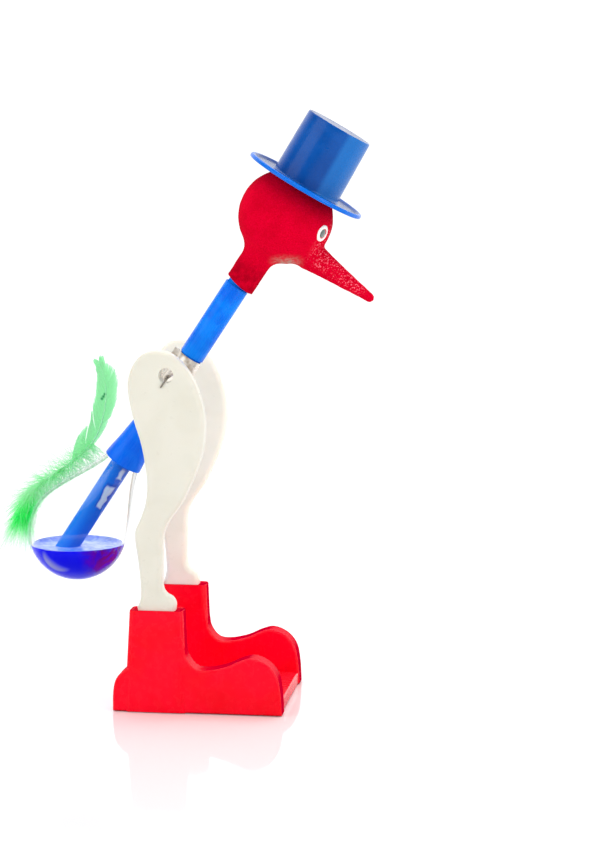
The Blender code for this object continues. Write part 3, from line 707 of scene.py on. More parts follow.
def build_boots(material, plate_material):
    """Two boots and the low plate that joins their soles."""
    foot = [*spline(HEEL, 5), *INSIDE_SHAFT, *spline(VAMP, 5)][::-1]
    for name, side in SIDES:
        boot = joined(boot_shaft(), slab(foot, FOOT_HALF, FOOT_EDGE, RIM_STEPS))
        add("boot_" + name, boot, leg_place(side), material, "boot_red", "boots_base", **STAND)
    inner = LEG_Y - FOOT_HALF + PLATE_OVERLAP
    plate = rounded_box((PLATE_BACK, -inner, 0.0), (PLATE_FRONT, inner, PLATE_HEIGHT), PLATE_EDGE)
    add("boot_plate", plate, WORLD, plate_material, "boot_red", "boots_base", **STAND)


def build_legs(materials):
    """Two flat legs, each with a round hole for the clip's knife edge."""
    outline = spline(LEG_BACK + LEG_FRONT, 4)[::-1]
    for (name, side), material in zip(SIDES, materials):
        hole = turned([(0.0, HOLE_REACH), (HOLE_RADIUS, HOLE_REACH), (HOLE_RADIUS, -HOLE_REACH),
                       (0.0, -HOLE_REACH)], COARSE)
        moved(hole, shift(0.0, 0.0, HIP.z / MM + HOLE_RISE) @ turn(90.0, "X"))
        leg = combined(slab(outline, LEG_HALF, LEG_EDGE, RIM_STEPS), hole, "DIFFERENCE")
        add("leg_panel_" + name, leg, leg_place(side), material, "leg_ivory", "leg_" + name, **STAND)


# ---------------------------------------------------------------- clip

SHEET = 0.28
BAND_RADIUS, BAND_LOW, BAND_HIGH = 2.9, -4.6, 4.8
BAND_GAP = 6.0  # degrees that the loop stays open to each side, behind the tube
PINCH, PINCH_ENDS = 0.22, (-3.35, -3.9, -4.75)
RIVET_PLACE = (-4.1, 0.0, 0.4)
RIVET = ((0.35, 0.6), (0.55, 0.45), (0.6, 0.3), (0.6, -0.3), (0.55, -0.45), (0.35, -0.6))
FOLD = ((-0.40, 1.08), (-0.24, 0.68), (-0.08, 0.28), (0.0, 0.17), (0.08, 0.28), (0.24, 0.68), (0.40, 1.08))
TAIL = ((0.1, -2.3), (0.13, -1.9), (0.18, -0.3), (0.36, 0.25))  # half of the tail's outline
ARM_START, ARM_END = 3.0, LEG_Y + LEG_HALF + 0.25  # to the middle of the tail's sheet, clear of the leg


def build_clip(material):
    """A tin strip round the tube, pinched behind it, with a V-folded knife-edge arm to each leg."""
    loop = arc((0.0, 0.0), BAND_RADIUS + SHEET / 2, 180.0 - BAND_GAP, BAND_GAP - 180.0, 40)
    path = [*[(x, PINCH) for x in PINCH_ENDS[::-1]], *loop, *[(x, -PINCH) for x in PINCH_ENDS]]
    outline = strip(path, SHEET)
    band = lofted([[(x, y, z) for x, y in outline] for z in (BAND_LOW, BAND_HIGH)])
    rivet = turned([(0.0, 0.62), *RIVET, (0.0, -0.62)], 24)
    moved(rivet, shift(*RIVET_PLACE) @ turn(90.0, "X"))
    add("clip_band", joined(band, rivet), TUBE, material, "clip_tin", sharp=35)

    fold = strip(FOLD, SHEET)
    tail_outline = [(-x, z) for x, z in TAIL] + [*TAIL[::-1]]
    for name, side in SIDES:
        arm = lofted([[(x, y, z) for x, z in fold] for y in (side * ARM_START, side * ARM_END)])
        tail = moved(slab(tail_outline, SHEET / 2, 0.05, 2), shift(0.0, side * ARM_END, 0.0))
        add("clip_arm_" + name, joined(arm, tail), BIRD, material, "clip_tin", "pivot_clip", sharp=35)


# ---------------------------------------------------------------- glass and liquid

NECK_TOP, NECK_FOOT, NECK_PULL, SHOULDER_PULL = -21.0, -24.5, -30.2, -40.0  # heights that shape the pear
NECK_OUTER, NECK_OUTER_PULL = 3.85, 4.2  # and the neck's radii
PEAR_STEPS = 20
SPHERE_END = 14.0  # degrees above its middle that the bulb is a sphere, so that the liquid fits when it turns
LIQUID_GRIP = 0.02  # how far the liquid runs into its glass, so that no gap shows
STEM_WALL, TIP_OFF = 0.5, 8.0  # the head bulb's glass, and half the angle that its tip-off takes
CLIMB = 4.5  # degrees of glass that the liquid's edge creeps up
MENISCUS = ((2.4, 0.0), (1.3, 0.05), (0.6, 0.2), (0.15, 0.55))  # distance from the glass, and rise


def pear(wall):
    """The lower bulb's profile from its neck to its foot, as (radius, height) in the tube's frame.

    Inside, the neck is drawn in to the tube, so that its glass is thick and bends what is behind it.
    """
    radius = BULB_RADIUS - wall
    a, b = (NECK_OUTER, NECK_FOOT), (NECK_OUTER_PULL, NECK_PULL)
    if wall:
        a, b = (TUBE_RADIUS + 0.06, NECK_FOOT), (TUBE_RADIUS + 0.25, NECK_PULL - 1.2)
    end = math.radians(SPHERE_END)
    d = (radius * math.cos(end), BULB_HEIGHT + radius * math.sin(end))
    c = (d[0] - (SHOULDER_PULL - d[1]) * math.tan(end), SHOULDER_PULL)
    points = []
    for i in range(PEAR_STEPS + 1):
        t = i / PEAR_STEPS
        w = ((1 - t) ** 3, 3 * t * (1 - t) ** 2, 3 * t * t * (1 - t), t ** 3)
        points.append(tuple(sum(k * p[n] for k, p in zip(w, (a, b, c, d))) for n in (0, 1)))
    sphere = arc((0.0, BULB_HEIGHT), radius, SPHERE_END, -90.0, PEAR_STEPS)
    return [(a[0], NECK_TOP), *points, *sphere[1:-1], (0.0, BULB_HEIGHT - radius)]


def build_glass(bulb_look, tube_look):
    bulb = turned([*pear(0.0), *pear(BULB_WALL)[::-1]], ring=True)
    add("bulb_glass", bulb, TUBE, bulb_look, "clear_glass", "glass_bulb")

    low, high = extent("glass_stem", TUBE)
    outer, inner = high.y, high.y - STEM_WALL
    neck = math.degrees(math.asin(TUBE_RADIUS / outer))
    bore = math.degrees(math.asin(TUBE_BORE / inner))
    centre = (0.0, HEAD_CENTRE_HEIGHT)
    profile = [(0.0, high.z), (0.4, high.z - 0.3), (0.8, high.z - 2.0),
               *arc(centre, outer, 90.0 - TIP_OFF, neck - 90.0, 24),
               (TUBE_RADIUS, low.z + 0.2), (TUBE_RADIUS - 0.1, low.z), (TUBE_BORE + 0.1, low.z),
               (TUBE_BORE, low.z + 0.2), *arc(centre, inner, bore - 90.0, 90.0, 24)[:-1],
               (0.0, HEAD_CENTRE_HEIGHT + inner)]
    add("tube_glass", turned(profile), TUBE, tube_look, "clear_glass", "glass_stem")


def build_liquid(column_material, pool_material):
    low, high = extent("liquid_column", TUBE)
    radius = TUBE_BORE + LIQUID_GRIP
    column = turned([(0.0, high.z), (radius - 0.4, high.z), (radius, high.z + 0.25), (radius, low.z),
                     (0.0, low.z)], COARSE)
    add("column_liquid", column, TUBE, column_material, "liquid_blue", "liquid_column", sharp=50)

    at = Matrix.Translation(BULB_CENTRE)
    level = extent("liquid_pool", at)[1].z
    radius = BULB_RADIUS - BULB_WALL + LIQUID_GRIP
    edge = math.asin(-level / radius)
    across = math.cos(edge) * radius
    meniscus = [(across - back, level + rise) for back, rise in MENISCUS]
    under = arc((0.0, 0.0), radius, CLIMB - math.degrees(edge), -90.0, 30)[:-1]
    pool = turned([(0.0, level), (across * 0.5, level), *meniscus, *under, (0.0, -radius)])
    add("pool_liquid", pool, at, pool_material, "liquid_blue", "liquid_pool", body="liquid")


# ---------------------------------------------------------------- sleeves

SLEEVE_WALL, SLEEVE_EDGE = 0.3, 0.06
FLARE = ((-10.0, 0.0), (-15.0, 0.25), (-18.5, 0.65), (-22.0, 1.05))  # height, and growth of the radius
STRETCH_START = -14.0


def build_sleeves(material):
    """Cut plastic tubing, the lower one stretched over the neck of the bulb."""
    low, high = extent("sleeve_upper", TUBE)
    radius = high.y
    upper = [(radius - SLEEVE_EDGE, high.z), (radius, high.z - 0.08), (radius, low.z + 0.08),
             (radius - SLEEVE_EDGE, low.z), (radius - SLEEVE_WALL, low.z), (radius - SLEEVE_WALL, high.z)]
    add("tubing_upper", turned(upper, ring=True), TUBE, material, "sleeve_blue", "sleeve_upper", sharp=40)

    low, high = extent("sleeve_lower", TUBE)
    foot = high.y
    outer = spline([(radius, high.z), *[(radius + growth, z) for z, growth in FLARE], (foot - 0.3, -25.2),
                    (foot, low.z + 0.15)], 5)
    inner = [(r - SLEEVE_WALL, z) for r, z in outer]
    edge = [(foot - SLEEVE_EDGE, low.z), (foot - SLEEVE_WALL, low.z)]
    lower = turned([*outer, *edge, *inner[::-1]], ring=True)
    for v in lower.verts:  # slight waves where the tubing is stretched
        angle, down = math.atan2(v.co.y, v.co.x), max(0.0, (STRETCH_START - v.co.z) / 14.0)
        wave = 1.0 + 0.012 * down * math.sin(3 * angle + 0.5) + 0.006 * down * math.sin(7 * angle + v.co.z)
        v.co.x *= wave
        v.co.y *= wave
    add("tubing_lower", lower, TUBE, material, "sleeve_blue", "sleeve_lower", sharp=40)


# ---------------------------------------------------------------- felt head

BEAK_AXIS, BEAK_DROOP, BEAK_TIP, BEAK_START = 43.75, 1.6, 30.9, 5.0  # the droop is in degrees
BEAK_ROOT_RADIUS, BEAK_TIP_RADIUS, BEAK_TAPER = 3.9, 1.0, 0.85
NECK_BACK, NECK_CUT = 0.2, 0.16  # the neck's place behind the head's centre, and the slope of its cut end
HEAD_CENTRE = Vector((HEAD_OFFSET, 0.0, HEAD_CENTRE_HEIGHT))
CHIN_PATCH = (7.3, -3.2, 39.6)
FACE_STRETCH = 1.04
VOXEL, PROBE = 0.34, 0.02
EYE_TURN = 2.5  # degrees that the eyes look further ahead than their CAD seats
EYE_SEAT = HEAD_RADIUS + 0.05
EYE_RING = ((0.0, 0.1), (1.05, 0.1), (1.2, 0.22), (1.6, 0.32), (1.95, 0.26), (2.2, 0.08), (2.32, -0.15),
            (2.32, -0.5), (0.0, -0.5))  # radius, and height over the seat
EYE_BEAD = ((0.0, 0.42), (0.4, 0.4), (0.8, 0.34), (1.1, 0.25), (1.3, 0.15), (1.3, 0.06), (0.0, 0.06))


def soft_min(one, two, blend):
    """The smaller of two distances, rounded where they are about equal."""
    h = np.clip(0.5 + 0.5 * (two - one) / blend, 0.0, 1.0)
    return two + (one - two) * h - blend * h * (1.0 - h)


def felt_distance(p):
    """Distance of points of the bird's frame from the felt: ball, neck and beak melted together."""
    off = p - np.array(HEAD_CENTRE)
    off[:, 0] = np.where(off[:, 0] > 0.0, off[:, 0] / FACE_STRETCH, off[:, 0])
    ball = np.linalg.norm(off, axis=1) - HEAD_RADIUS
    around = np.hypot(p[:, 0] - HEAD_OFFSET + NECK_BACK, p[:, 1])
    neck = np.maximum(around - NECK_RADIUS, NECK_END + 0.45 - NECK_CUT * p[:, 0] - p[:, 2])
    neck = np.maximum(neck, p[:, 2] - HEAD_CENTRE_HEIGHT)
    droop = math.radians(BEAK_DROOP)
    along = p[:, 0] * math.cos(droop) - (p[:, 2] - BEAK_AXIS) * math.sin(droop)
    lift = p[:, 0] * math.sin(droop) + (p[:, 2] - BEAK_AXIS) * math.cos(droop)
    last = BEAK_TIP - BEAK_TIP_RADIUS
    share = np.clip((along - HEAD_RADIUS) / (last + 1.0 - HEAD_RADIUS), 0.0, 1.0)
    radius = BEAK_ROOT_RADIUS + (BEAK_TIP_RADIUS - BEAK_ROOT_RADIUS) * share ** BEAK_TAPER
    out = np.hypot(lift, p[:, 1])
    beak = np.maximum((out - radius) * 0.98, np.maximum(along - last, BEAK_START - 1.0 - along))
    tip = np.hypot(along - last, out) - BEAK_TIP_RADIUS * 1.06
    beak = soft_min(beak, tip, 0.25)
    return soft_min(soft_min(ball, neck, 2.6), beak, 0.9)


def build_felt(material):
    """One skin over head, neck and beak: rough solids are remeshed, then drawn onto the felt's surface."""
    ball = bmesh.new()
    bmesh.ops.create_icosphere(ball, subdivisions=4, radius=HEAD_RADIUS, matrix=shift(*HEAD_CENTRE))
    neck = turned([(0.0, HEAD_CENTRE_HEIGHT), (NECK_RADIUS, HEAD_CENTRE_HEIGHT), (NECK_RADIUS, NECK_END),
                   (0.0, NECK_END)], COARSE)
    moved(neck, shift(HEAD_OFFSET - NECK_BACK, 0.0, 0.0))
    beak = turned([(0.0, BEAK_TIP - 0.1), (BEAK_TIP_RADIUS, BEAK_TIP - 0.9), (BEAK_ROOT_RADIUS, HEAD_RADIUS),
                   (BEAK_ROOT_RADIUS, BEAK_START), (0.0, BEAK_START)], COARSE)
    moved(beak, shift(0.0, 0.0, BEAK_AXIS) @ turn(90.0 + BEAK_DROOP, "Y"))
    shape = loose("felt_shape", combined(combined(ball, neck, "UNION"), beak, "UNION"))
    apply_modifier(shape, "REMESH", mode="VOXEL", voxel_size=VOXEL)
    points = np.empty(len(shape.data.vertices) * 3)
    shape.data.vertices.foreach_get("co", points)
    points = points.reshape(-1, 3)
    probes = np.eye(3) * PROBE
    for _ in range(6):
        slope = np.stack([felt_distance(points + d) - felt_distance(points - d) for d in probes], 1)
        slope /= np.maximum(np.linalg.norm(slope, axis=1, keepdims=True), 1e-6)
        points -= slope * felt_distance(points)[:, None] * 0.9
    for i, point in enumerate(points):  # the pile's small lumps
        lump = noise.noise(Vector(point) * 0.45) * 0.07 + noise.noise(Vector(point) * 2.1) * 0.045
        points[i] += slope[i] * lump
    shape.data.vertices.foreach_set("co", points.ravel())
    add("felt_head", as_bmesh(shape), BIRD, material, "felt_red", "head_cover", "beak_cover", "beak_core")


def facing_out(direction):
    return direction.to_track_quat("Z", "Y").to_matrix().to_4x4()


def build_eyes(white, dark):
    for name, side in SIDES:
        low, high = extent("eye_" + name, BIRD)
        outward = ((low + high) / 2 - HEAD_CENTRE).normalized()
        outward.rotate(turn(-side * EYE_TURN, "Z"))
        at = BIRD @ Matrix.Translation(HEAD_CENTRE * MM) @ facing_out(outward)
        for piece, profile, material, slot, node in (("eye_ring_", EYE_RING, white, "eye_white", "eye_"),
                                                     ("eye_bead_", EYE_BEAD, dark, "pupil_dark", "pupil_")):
            disc = turned([(r, EYE_SEAT + rise) for r, rise in profile], COARSE)
            add(piece + name, disc, at, material, slot, node + name, sharp=50)


# ---------------------------------------------------------------- hat

HAT_TILT = 3.0
BRIM_HEIGHT, BRIM_HALF, BRIM_LIP = 57.15, 0.3, 0.5
HAT_FORWARD = 0.15
GATE_HEIGHT, GATE_TURN = 11.2, -84.0  # the small mark where the hat was moulded


def build_hat(material):
    """One thin moulding: a crown that is open below, and a brim with a raised lip."""
    half, lip, brim = BRIM_HALF, BRIM_HALF + BRIM_LIP, HAT_BRIM_RADIUS + 0.2
    top, foot, roof = CROWN_TOP, CROWN_FOOT, CROWN_HEIGHT
    outside = [(0.0, roof), (top - 0.9, roof), (top - 0.5, roof + 0.06),
               *arc((top - 0.32, roof - 0.26), 0.32, 90.0, 5.0, 4), (top + 0.02, roof - 1.2),
               (foot - 0.03, half + 1.6), *arc((foot + 0.6, half + 0.6), 0.6, 180.0, 270.0, 5)]
    rim = [(brim - back, z) for back, z in
           ((1.7, half), (1.35, half + 0.08), (1.1, lip - 0.1), (0.85, lip), (0.4, lip), (0.12, lip - 0.15),
            (0.0, half - 0.05), (0.0, -half + 0.3), (0.12, -half + 0.08), (0.4, -half))]
    inside = [(foot + 0.3, -half), (foot - 0.5, -half + 0.2), (foot - 0.65, half + 1.0),
              (top - 0.65, roof - 0.9), (top - 1.1, roof - 0.65), (0.0, roof - 0.65)]
    gate = turned([(0.0, 0.12), (0.3, 0.1), (0.5, 0.02), (0.55, -0.2), (0.0, -0.2)], 24)
    outward = turn(GATE_TURN, "Z") @ turn(90.0, "Y") @ shift(0.0, 0.0, top + 0.1)
    moved(gate, shift(0.0, 0.0, GATE_HEIGHT) @ outward)
    at = BIRD @ shift((HEAD_OFFSET + HAT_FORWARD) * MM, 0.0, BRIM_HEIGHT * MM) @ turn(-HAT_TILT, "Y")
    hat = joined(turned(outside + rim + inside, 128), gate)
    add("top_hat", hat, at, material, "hat_blue", "hat", sharp=50, weighted=True)


# ---------------------------------------------------------------- feather

QUILL_LINE = ((-41.5, 46.6), (-40.4, 51.0), (-36.6, 54.8), (-29.9, 59.4), (-23.2, 65.3),
              (-20.1, 72.5), (-19.4, 80.0), (-20.7, 85.2))  # x and z in the row frame
QUILL_RADIUS, QUILL_STEPS = 0.3, 12
VANE_START = 0.46  # share of the quill below the vane
VANE_SHARES = (0.0, 0.15, 0.28, 0.40, 0.52, 0.65, 0.80, 0.92, 1.0, 1.06, 1.12)  # past 1 lie the barbs' ends
VANE_WIDTHS = {"rear": (3.2, 4.4, 5.0, 4.8, 4.1, 3.4, 2.6, 1.9, 1.1, 0.5, 0.05),
               "front": (0.3, 0.5, 0.9, 1.5, 2.1, 2.7, 3.1, 2.6, 1.8, 1.0, 0.1)}
VANE_ENDS = {"rear": 1.05, "front": 1.065}
VANE_SPLITS = {"rear": (0.13, 0.30), "front": (0.38,)}
BARB_COUNT, BARB_STEPS, BARB_WIDTH = 330, 7, 0.25
TIP_START = 0.80  # share of the vane where its barbs begin to close over the tip
DOWN_COUNT, DOWN_STEPS, DOWN_WIDTH = 2300, 7, 0.15
DOWN_OVER_GLASS = 4  # one plume in so many lies on the glass
DOWN_END = 0.60  # share of the quill that carries down
DOWN_LEFT, DOWN_GAP = -49.6, 0.25  # the down's limit at the back, and its gap from the glass
GLUE_SPOT = ((0.0, 1.0), (0.7, 0.9), (1.3, 0.62), (1.8, 0.22), (2.1, -0.12), (1.2, -0.02), (0.0, 0.05))
SIDEWAYS = Vector((0.0, 1.0, 0.0))
PEAR_POINTS = sorted((z, r) for r, z in pear(0.0) if z >= BULB_HEIGHT)
PEAR_TABLE = ([z for z, _ in PEAR_POINTS], [r for _, r in PEAR_POINTS])


def ribbon(bm, layer, points, widths, pale, facing):
    """A thin flat strand through points, its width across the given direction and its paleness stored."""
    rows = []
    for i, (point, width, share) in enumerate(zip(points, widths, pale)):
        along = along_line(points, i)
        across = along.cross(facing)
        if across.length < 1e-4:
            across = along.orthogonal()
        across = across.normalized() * width / 2
        row = [bm.verts.new(point - across), bm.verts.new(point + across)]
        for vert in row:
            vert[layer] = share
        rows.append(row)
    bridge(bm, rows, close_ring=False)


def clear_of_bulb(point, gap):
    """A point of the row frame, in millimetres, pushed out of the glass bulb."""
    local = TUBE_INVERSE @ (point * MM) / MM
    limit = gap + (float(np.interp(local.z, *PEAR_TABLE)) if local.z > BULB_HEIGHT else BULB_RADIUS)
    centre = Vector((0.0, 0.0, max(local.z, BULB_HEIGHT)))
    away = (local - centre).length
    if 1e-6 < away < limit:
        local = centre + (local - centre) * limit / away
    return TUBE @ (local * MM) / MM


def build_quill(line, look):
    last = len(line) - 1
    angles = [2 * math.pi * k / QUILL_STEPS for k in range(QUILL_STEPS)]
    rings = []
    for i in range(0, last + 1, 3):
        across = along_line(line, i).cross(SIDEWAYS)
        radius = QUILL_RADIUS * (1.2 - i / last)
        rings.append([line[i] + radius * (math.cos(a) * across + math.sin(a) * SIDEWAYS) for a in angles])
    add("quill", lofted(rings), WORLD, look, "quill_green", "feather_quill", weighted=True)


def build_vane(line, name, side, look, rng):
    """One side of the vane: barbs that lie edge on edge, parted at a few splits."""
    bm = bmesh.new()
    layer = bm.verts.layers.float.new("pale")
    last = len(line) - 1
    first = round(VANE_START * last)
    whole = sum((line[i + 1] - line[i]).length for i in range(first, last))
    shares = [j / (BARB_STEPS - 1) for j in range(BARB_STEPS)]
    for k in range(BARB_COUNT):
        share = k / (BARB_COUNT - 1)
        at = first + share * (last - first)
        i = min(int(at), last - 1)
        root = line[i].lerp(line[i + 1], at - i)
        along = (line[i + 1] - line[i]).normalized()
        across = along.cross(SIDEWAYS) * -side
        below = min([split - share for split in VANE_SPLITS[name] if split >= share], default=1.0)
        above = min([share - split for split in VANE_SPLITS[name] if split < share], default=1.0)
        part = math.exp(-below / 0.05) * 4.0 - math.exp(-above / 0.03) * 2.0
        closing = max(0.0, (share - TIP_START) / (1.0 - TIP_START))
        part += rng.uniform(-1.5, 1.5) * (1.0 - closing) - 23.0 * closing ** 1.5
        sweep = max(math.radians(40.0 - 14.0 * share + part), 0.02)  # a barb's slant from the quill
        width = 1.0
        for _ in range(4):  # a barb ends ahead of its root, at the width the vane has there
            reach = share + width / math.tan(sweep) / whole
            width = float(np.interp(reach, VANE_SHARES, VANE_WIDTHS[name]))
        length = width / math.sin(sweep) * rng.uniform(0.93, 1.04)
        length *= 1.0 - 0.12 * math.exp(-below / 0.02)
        longest = (VANE_ENDS[name] - share) * whole / math.cos(sweep)
        length = min(max(length, 0.88 * min(1.0, 2.2 * closing) * longest), longest) * rng.uniform(0.95, 1.0)
        lean = rng.uniform(-0.05, 0.05) + 0.35 * noise.noise(Vector((share * 6.0, side, 5.0)))
        points, angle = [root.copy()], sweep * 1.25
        for j in range(1, BARB_STEPS):
            angle -= sweep * 0.5 / (BARB_STEPS - 1)
            step = length / (BARB_STEPS - 1)
            points.append(points[-1] + (along * math.cos(angle) + across * math.sin(angle)) * step
                          + SIDEWAYS * lean * j / BARB_STEPS * 0.25)
        widths = [BARB_WIDTH * (1.0 - 0.6 * t ** 3) for t in shares]
        edge = max(0.0, 1.0 - share * 2.0) if side > 0 else 0.0
        pale = [min(1.0, 0.25 * t * t + edge * (0.35 + 0.65 * t)) for t in shares]
        facing = Vector((0.12 * rng.uniform(-1, 1), 1.0, 0.12 * rng.uniform(-1, 1)))
        ribbon(bm, layer, points, widths, pale, facing)
    add("vane_" + name, bm, WORLD, look, "vane_green", "feather_vane_" + name)


def random_vector(rng, *limits):
    return Vector([rng.uniform(low, high) for low, high in limits])


def build_down(line, look, rng):
    """Loose plumes on the lower quill: they spread backwards and droop, and lie over the glass in front."""
    bm = bmesh.new()
    layer = bm.verts.layers.float.new("pale")
    last = len(line) - 1
    sleeve_foot = extent("sleeve_lower", TUBE)[0].z - 0.4
    for k in range(DOWN_COUNT):
        share = rng.random() ** 1.6
        i = min(int(share * DOWN_END * last), last - 1)
        along = (line[i + 1] - line[i]).normalized()
        low = 1.0 - share
        out = Matrix.Rotation(rng.uniform(0, 2 * math.pi), 3, along) @ along.orthogonal().normalized()
        direction = out * rng.uniform(0.7, 1.0) + along * rng.uniform(-0.75, 0.75 - 0.75 * low)
        direction = (direction + Vector((-0.34, 0.0, -1.05)) * low ** 2).normalized()
        length = rng.uniform(3.6, 7.6) + 9.0 * low ** 3 * rng.random()
        if k % DOWN_OVER_GLASS == 0:
            direction = random_vector(rng, (0.4, 1.0), (-0.9, 0.2), (-0.9, 0.3)).normalized()
            length = rng.uniform(5.0, 12.0)
        curl = random_vector(rng, *[(-0.12, 0.12)] * 3)
        point = line[i].copy()
        points = [point.copy()]
        for _ in range(DOWN_STEPS - 1):
            direction = (direction + curl + Vector((0.0, 0.0, -0.05 - 0.10 * low))).normalized()
            point = clear_of_bulb(point + direction * length / (DOWN_STEPS - 1), DOWN_GAP)
            point.x = max(point.x, DOWN_LEFT)
            if (TUBE_INVERSE @ (point * MM)).z / MM > sleeve_foot:
                break
            points.append(point.copy())
        if len(points) < 3:
            continue
        shares = [j / (len(points) - 1) for j in range(len(points))]
        ribbon(bm, layer, points, [DOWN_WIDTH * (1.0 - 0.7 * t) for t in shares], [t ** 1.2 for t in shares],
               Vector((rng.uniform(-1, 1), 1.2, rng.uniform(-1, 1))).normalized())
    add("down_strands", bm, WORLD, look, "down_green", "feather_down")


def build_feather(vane_look, quill_look, down_look):
    rng = random.Random(7)
    line = [Vector((p.x, 0.0, p.y)) for p in spline(QUILL_LINE, 24)]
    build_quill(line, quill_look)
    build_vane(line, "rear", -1, vane_look, rng)
    build_vane(line, "front", 1, vane_look, rng)
    build_down(line, down_look, rng)


def build_glue(look):
    """An uneven spot of clear glue between quill and bulb."""
    blob = turned([(r, BULB_RADIUS + rise) for r, rise in GLUE_SPOT], COARSE)
    for v in blob.verts:
        v.co.x *= 1.0 + 0.16 * noise.noise(v.co * 0.9)
        v.co.y *= 1.0 + 0.16 * noise.noise(v.co * 0.9 + Vector((9.0, 0.0, 0.0)))
    at = Matrix.Translation(BULB_CENTRE) @ facing_out((middle("feather_glue") - BULB_CENTRE).normalized())
    add("glue_spot", blob, at, look, "glue_clear", "feather_glue")


# ---------------------------------------------------------------- studio

CAMERA_PLACE = (0.104145, -0.549165, 0.142656)
CAMERA_YAW, CAMERA_DIP = math.radians(7.6), math.radians(7.484)
CAMERA_LENS, SENSOR_WIDTH = 92.31, 36.0
WORLD_SEEN = 1.15  # brightness of the backdrop
WORLD_LIGHT = (-0.75, 0.35, 0.55, 1.05)  # ramp from the camera's side to behind the part, as light on it
WORLD_MIRRORED = (0.05, 0.60, 0.06, 1.35)  # the same, as glossy surfaces show it
FLOOR_COLOUR, FLOOR_DEPTH = (0.93, 0.93, 0.935), 0.0002  # the floor lies a little below the soles
FLOOR_MIRRORED = (0.15, 0.15, 0.15)  # the floor in front of the part, as glossy surfaces show it
SWEEP = (100.0, 450.0)  # how far from the part, in millimetres, the floor turns into the white backdrop
LIGHT_TARGET = Vector((0.0, 0.0, 0.08))
SOFTBOXES = {  # place, size and power
    "key_left": ((-0.75, -0.62, 0.50), (0.75, 0.8), 3.3),
    "fill_right": ((0.85, -0.50, 0.30), (0.35, 0.8), 3.2),
    "front_high": ((0.05, -0.85, 0.95), (0.8, 0.35), 1.9),
    "top": ((0.0, 0.25, 0.95), (0.9, 0.6), 3.0),
}


def placed(name, data, place, direction):
    """A light or camera that looks along a direction."""
    obj = bpy.data.objects.new(name, data)
    bpy.context.scene.collection.objects.link(obj)
    obj.location = place
    obj.rotation_euler = direction.to_track_quat("-Z", "Y").to_euler()
    return obj


def build_floor():
    look = Look("floor", FLOOR_COLOUR, 0.16, specular_ior_level=0.7)
    look.feed("Roughness", look.ramp(look.noise(30.0, 2.0), 0.3, 0.7, 0.05, 0.09))
    in_front = look.ramp(look.axis("Y"), -20.0, 60.0, 1.0, 0.0)
    look.paint(look.tint(FLOOR_COLOUR, FLOOR_MIRRORED, look.node("LightPath", "Is Glossy Ray"), in_front))
    backdrop = look.emission((1.0, 1.0, 1.0), WORLD_SEEN)
    look.show(look.shaders(look.ramp(look.distance(), *SWEEP), look.surface, backdrop))
    bm = bmesh.new()
    bmesh.ops.create_grid(bm, x_segments=2, y_segments=2, size=6.0)
    floor = loose("floor", bm)
    floor.location = (0.0, 0.0, -FLOOR_DEPTH)
    floor.data.materials.append(look.material)


def build_world():
    """A white room. Glossy surfaces see a darker one, so that colours stay deep."""
    world = bpy.data.worlds.new("studio")
    bpy.context.scene.world = world
    world.use_nodes = True
    room = Nodes(world.node_tree)
    depth = room.node("SeparateXYZ", "Y", {"Vector": room.node("TexCoord", "Generated")})
    glossy, seen = (room.node("LightPath", name) for name in ("Is Glossy Ray", "Is Camera Ray"))
    lit = room.times(room.ramp(depth, *WORLD_LIGHT), room.maths("SUBTRACT", 1.0, glossy))
    around = room.maths("ADD", lit, room.times(room.ramp(depth, *WORLD_MIRRORED), glossy))
    strength = room.maths("MAXIMUM", around, room.times(seen, WORLD_SEEN))
    background = world.node_tree.nodes["Background"].inputs
    room.tree.links.new(strength, background["Strength"])
    background["Color"].default_value = WHITE


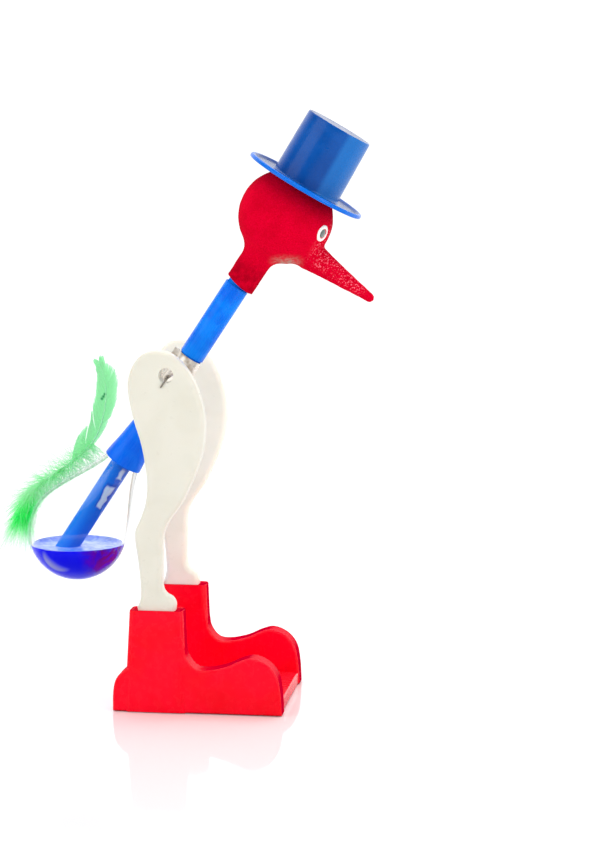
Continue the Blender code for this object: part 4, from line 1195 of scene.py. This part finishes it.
def build_studio():
    build_floor()
    build_world()
    for name, (place, size, power) in SOFTBOXES.items():
        light = bpy.data.lights.new(name, "AREA")
        light.shape = "RECTANGLE"
        light.size, light.size_y = size
        light.energy = power
        placed(name, light, place, LIGHT_TARGET - Vector(place))

    lens = bpy.data.cameras.new("camera")
    lens.lens, lens.sensor_width = CAMERA_LENS, SENSOR_WIDTH
    lens.clip_start = 0.01
    level = math.cos(CAMERA_DIP)
    ahead = Vector((-math.sin(CAMERA_YAW) * level, math.cos(CAMERA_YAW) * level, -math.sin(CAMERA_DIP)))
    scene = bpy.context.scene
    scene.camera = placed("camera", lens, CAMERA_PLACE, ahead)
    scene.view_settings.view_transform = "Standard"
    scene.cycles.use_denoising = True
    scene.cycles.transmission_bounces = 16
    scene.cycles.max_bounces = 16


# painted light: the far (left) leg is made brighter than the near one, against the shadow it stands in
LEG_PAINTED_BRIGHTNESS = (("right", 0.95), ("left", 1.15))
# painted shadow: the vane is painted deeper at these points along the quill
QUILL_SHADOW = ((-20.4, 0.0, 76.8), (-20.0, 0.0, 77.4), (-19.6, 0.0, 78.0))
DEEPEST_DOWN = ((-42.6, 0.0, 45.4), (-38.4, -2.0, 46.2))


def main():
    build_studio()
    # the boots' edge colour is a dark painted shade; the plate's stays close to its own red
    build_boots(make_red_plastic("red_plastic", 0.0, (0.55, 0.0, 0.022)),
                make_red_plastic("plate_plastic", 0.6, (1.0, 0.01, 0.03)))
    build_legs([make_ivory_plastic("ivory_plastic_" + name, shade) for name, shade in LEG_PAINTED_BRIGHTNESS])
    build_clip(make_tin())
    # the bulb's 0.12 is the glow of its painted room reflection
    build_glass(make_glass("bulb_glass", 0.65, 0.12, 1.02), make_glass("tube_glass", 0.3, 0.0, 1.0))
    build_liquid(make_column_liquid(), make_pool_liquid())
    build_sleeves(make_sleeve_plastic())
    build_felt(make_felt())
    build_eyes(make_eye_white(), make_pupil())
    build_hat(make_hat_plastic())
    vane = make_barbs("vane_barbs", (0.45, 0.92, 0.57), (0.02, 0.46, 0.15), QUILL_SHADOW, 0.62, (0.1, 0.5))
    down = make_barbs("down_barbs", (0.36, 0.88, 0.46), (0.0, 0.90, 0.17), DEEPEST_DOWN, 6.4, (0.0, 0.6))
    build_feather(vane, make_quill(), down)
    build_glue(make_glue())


main()
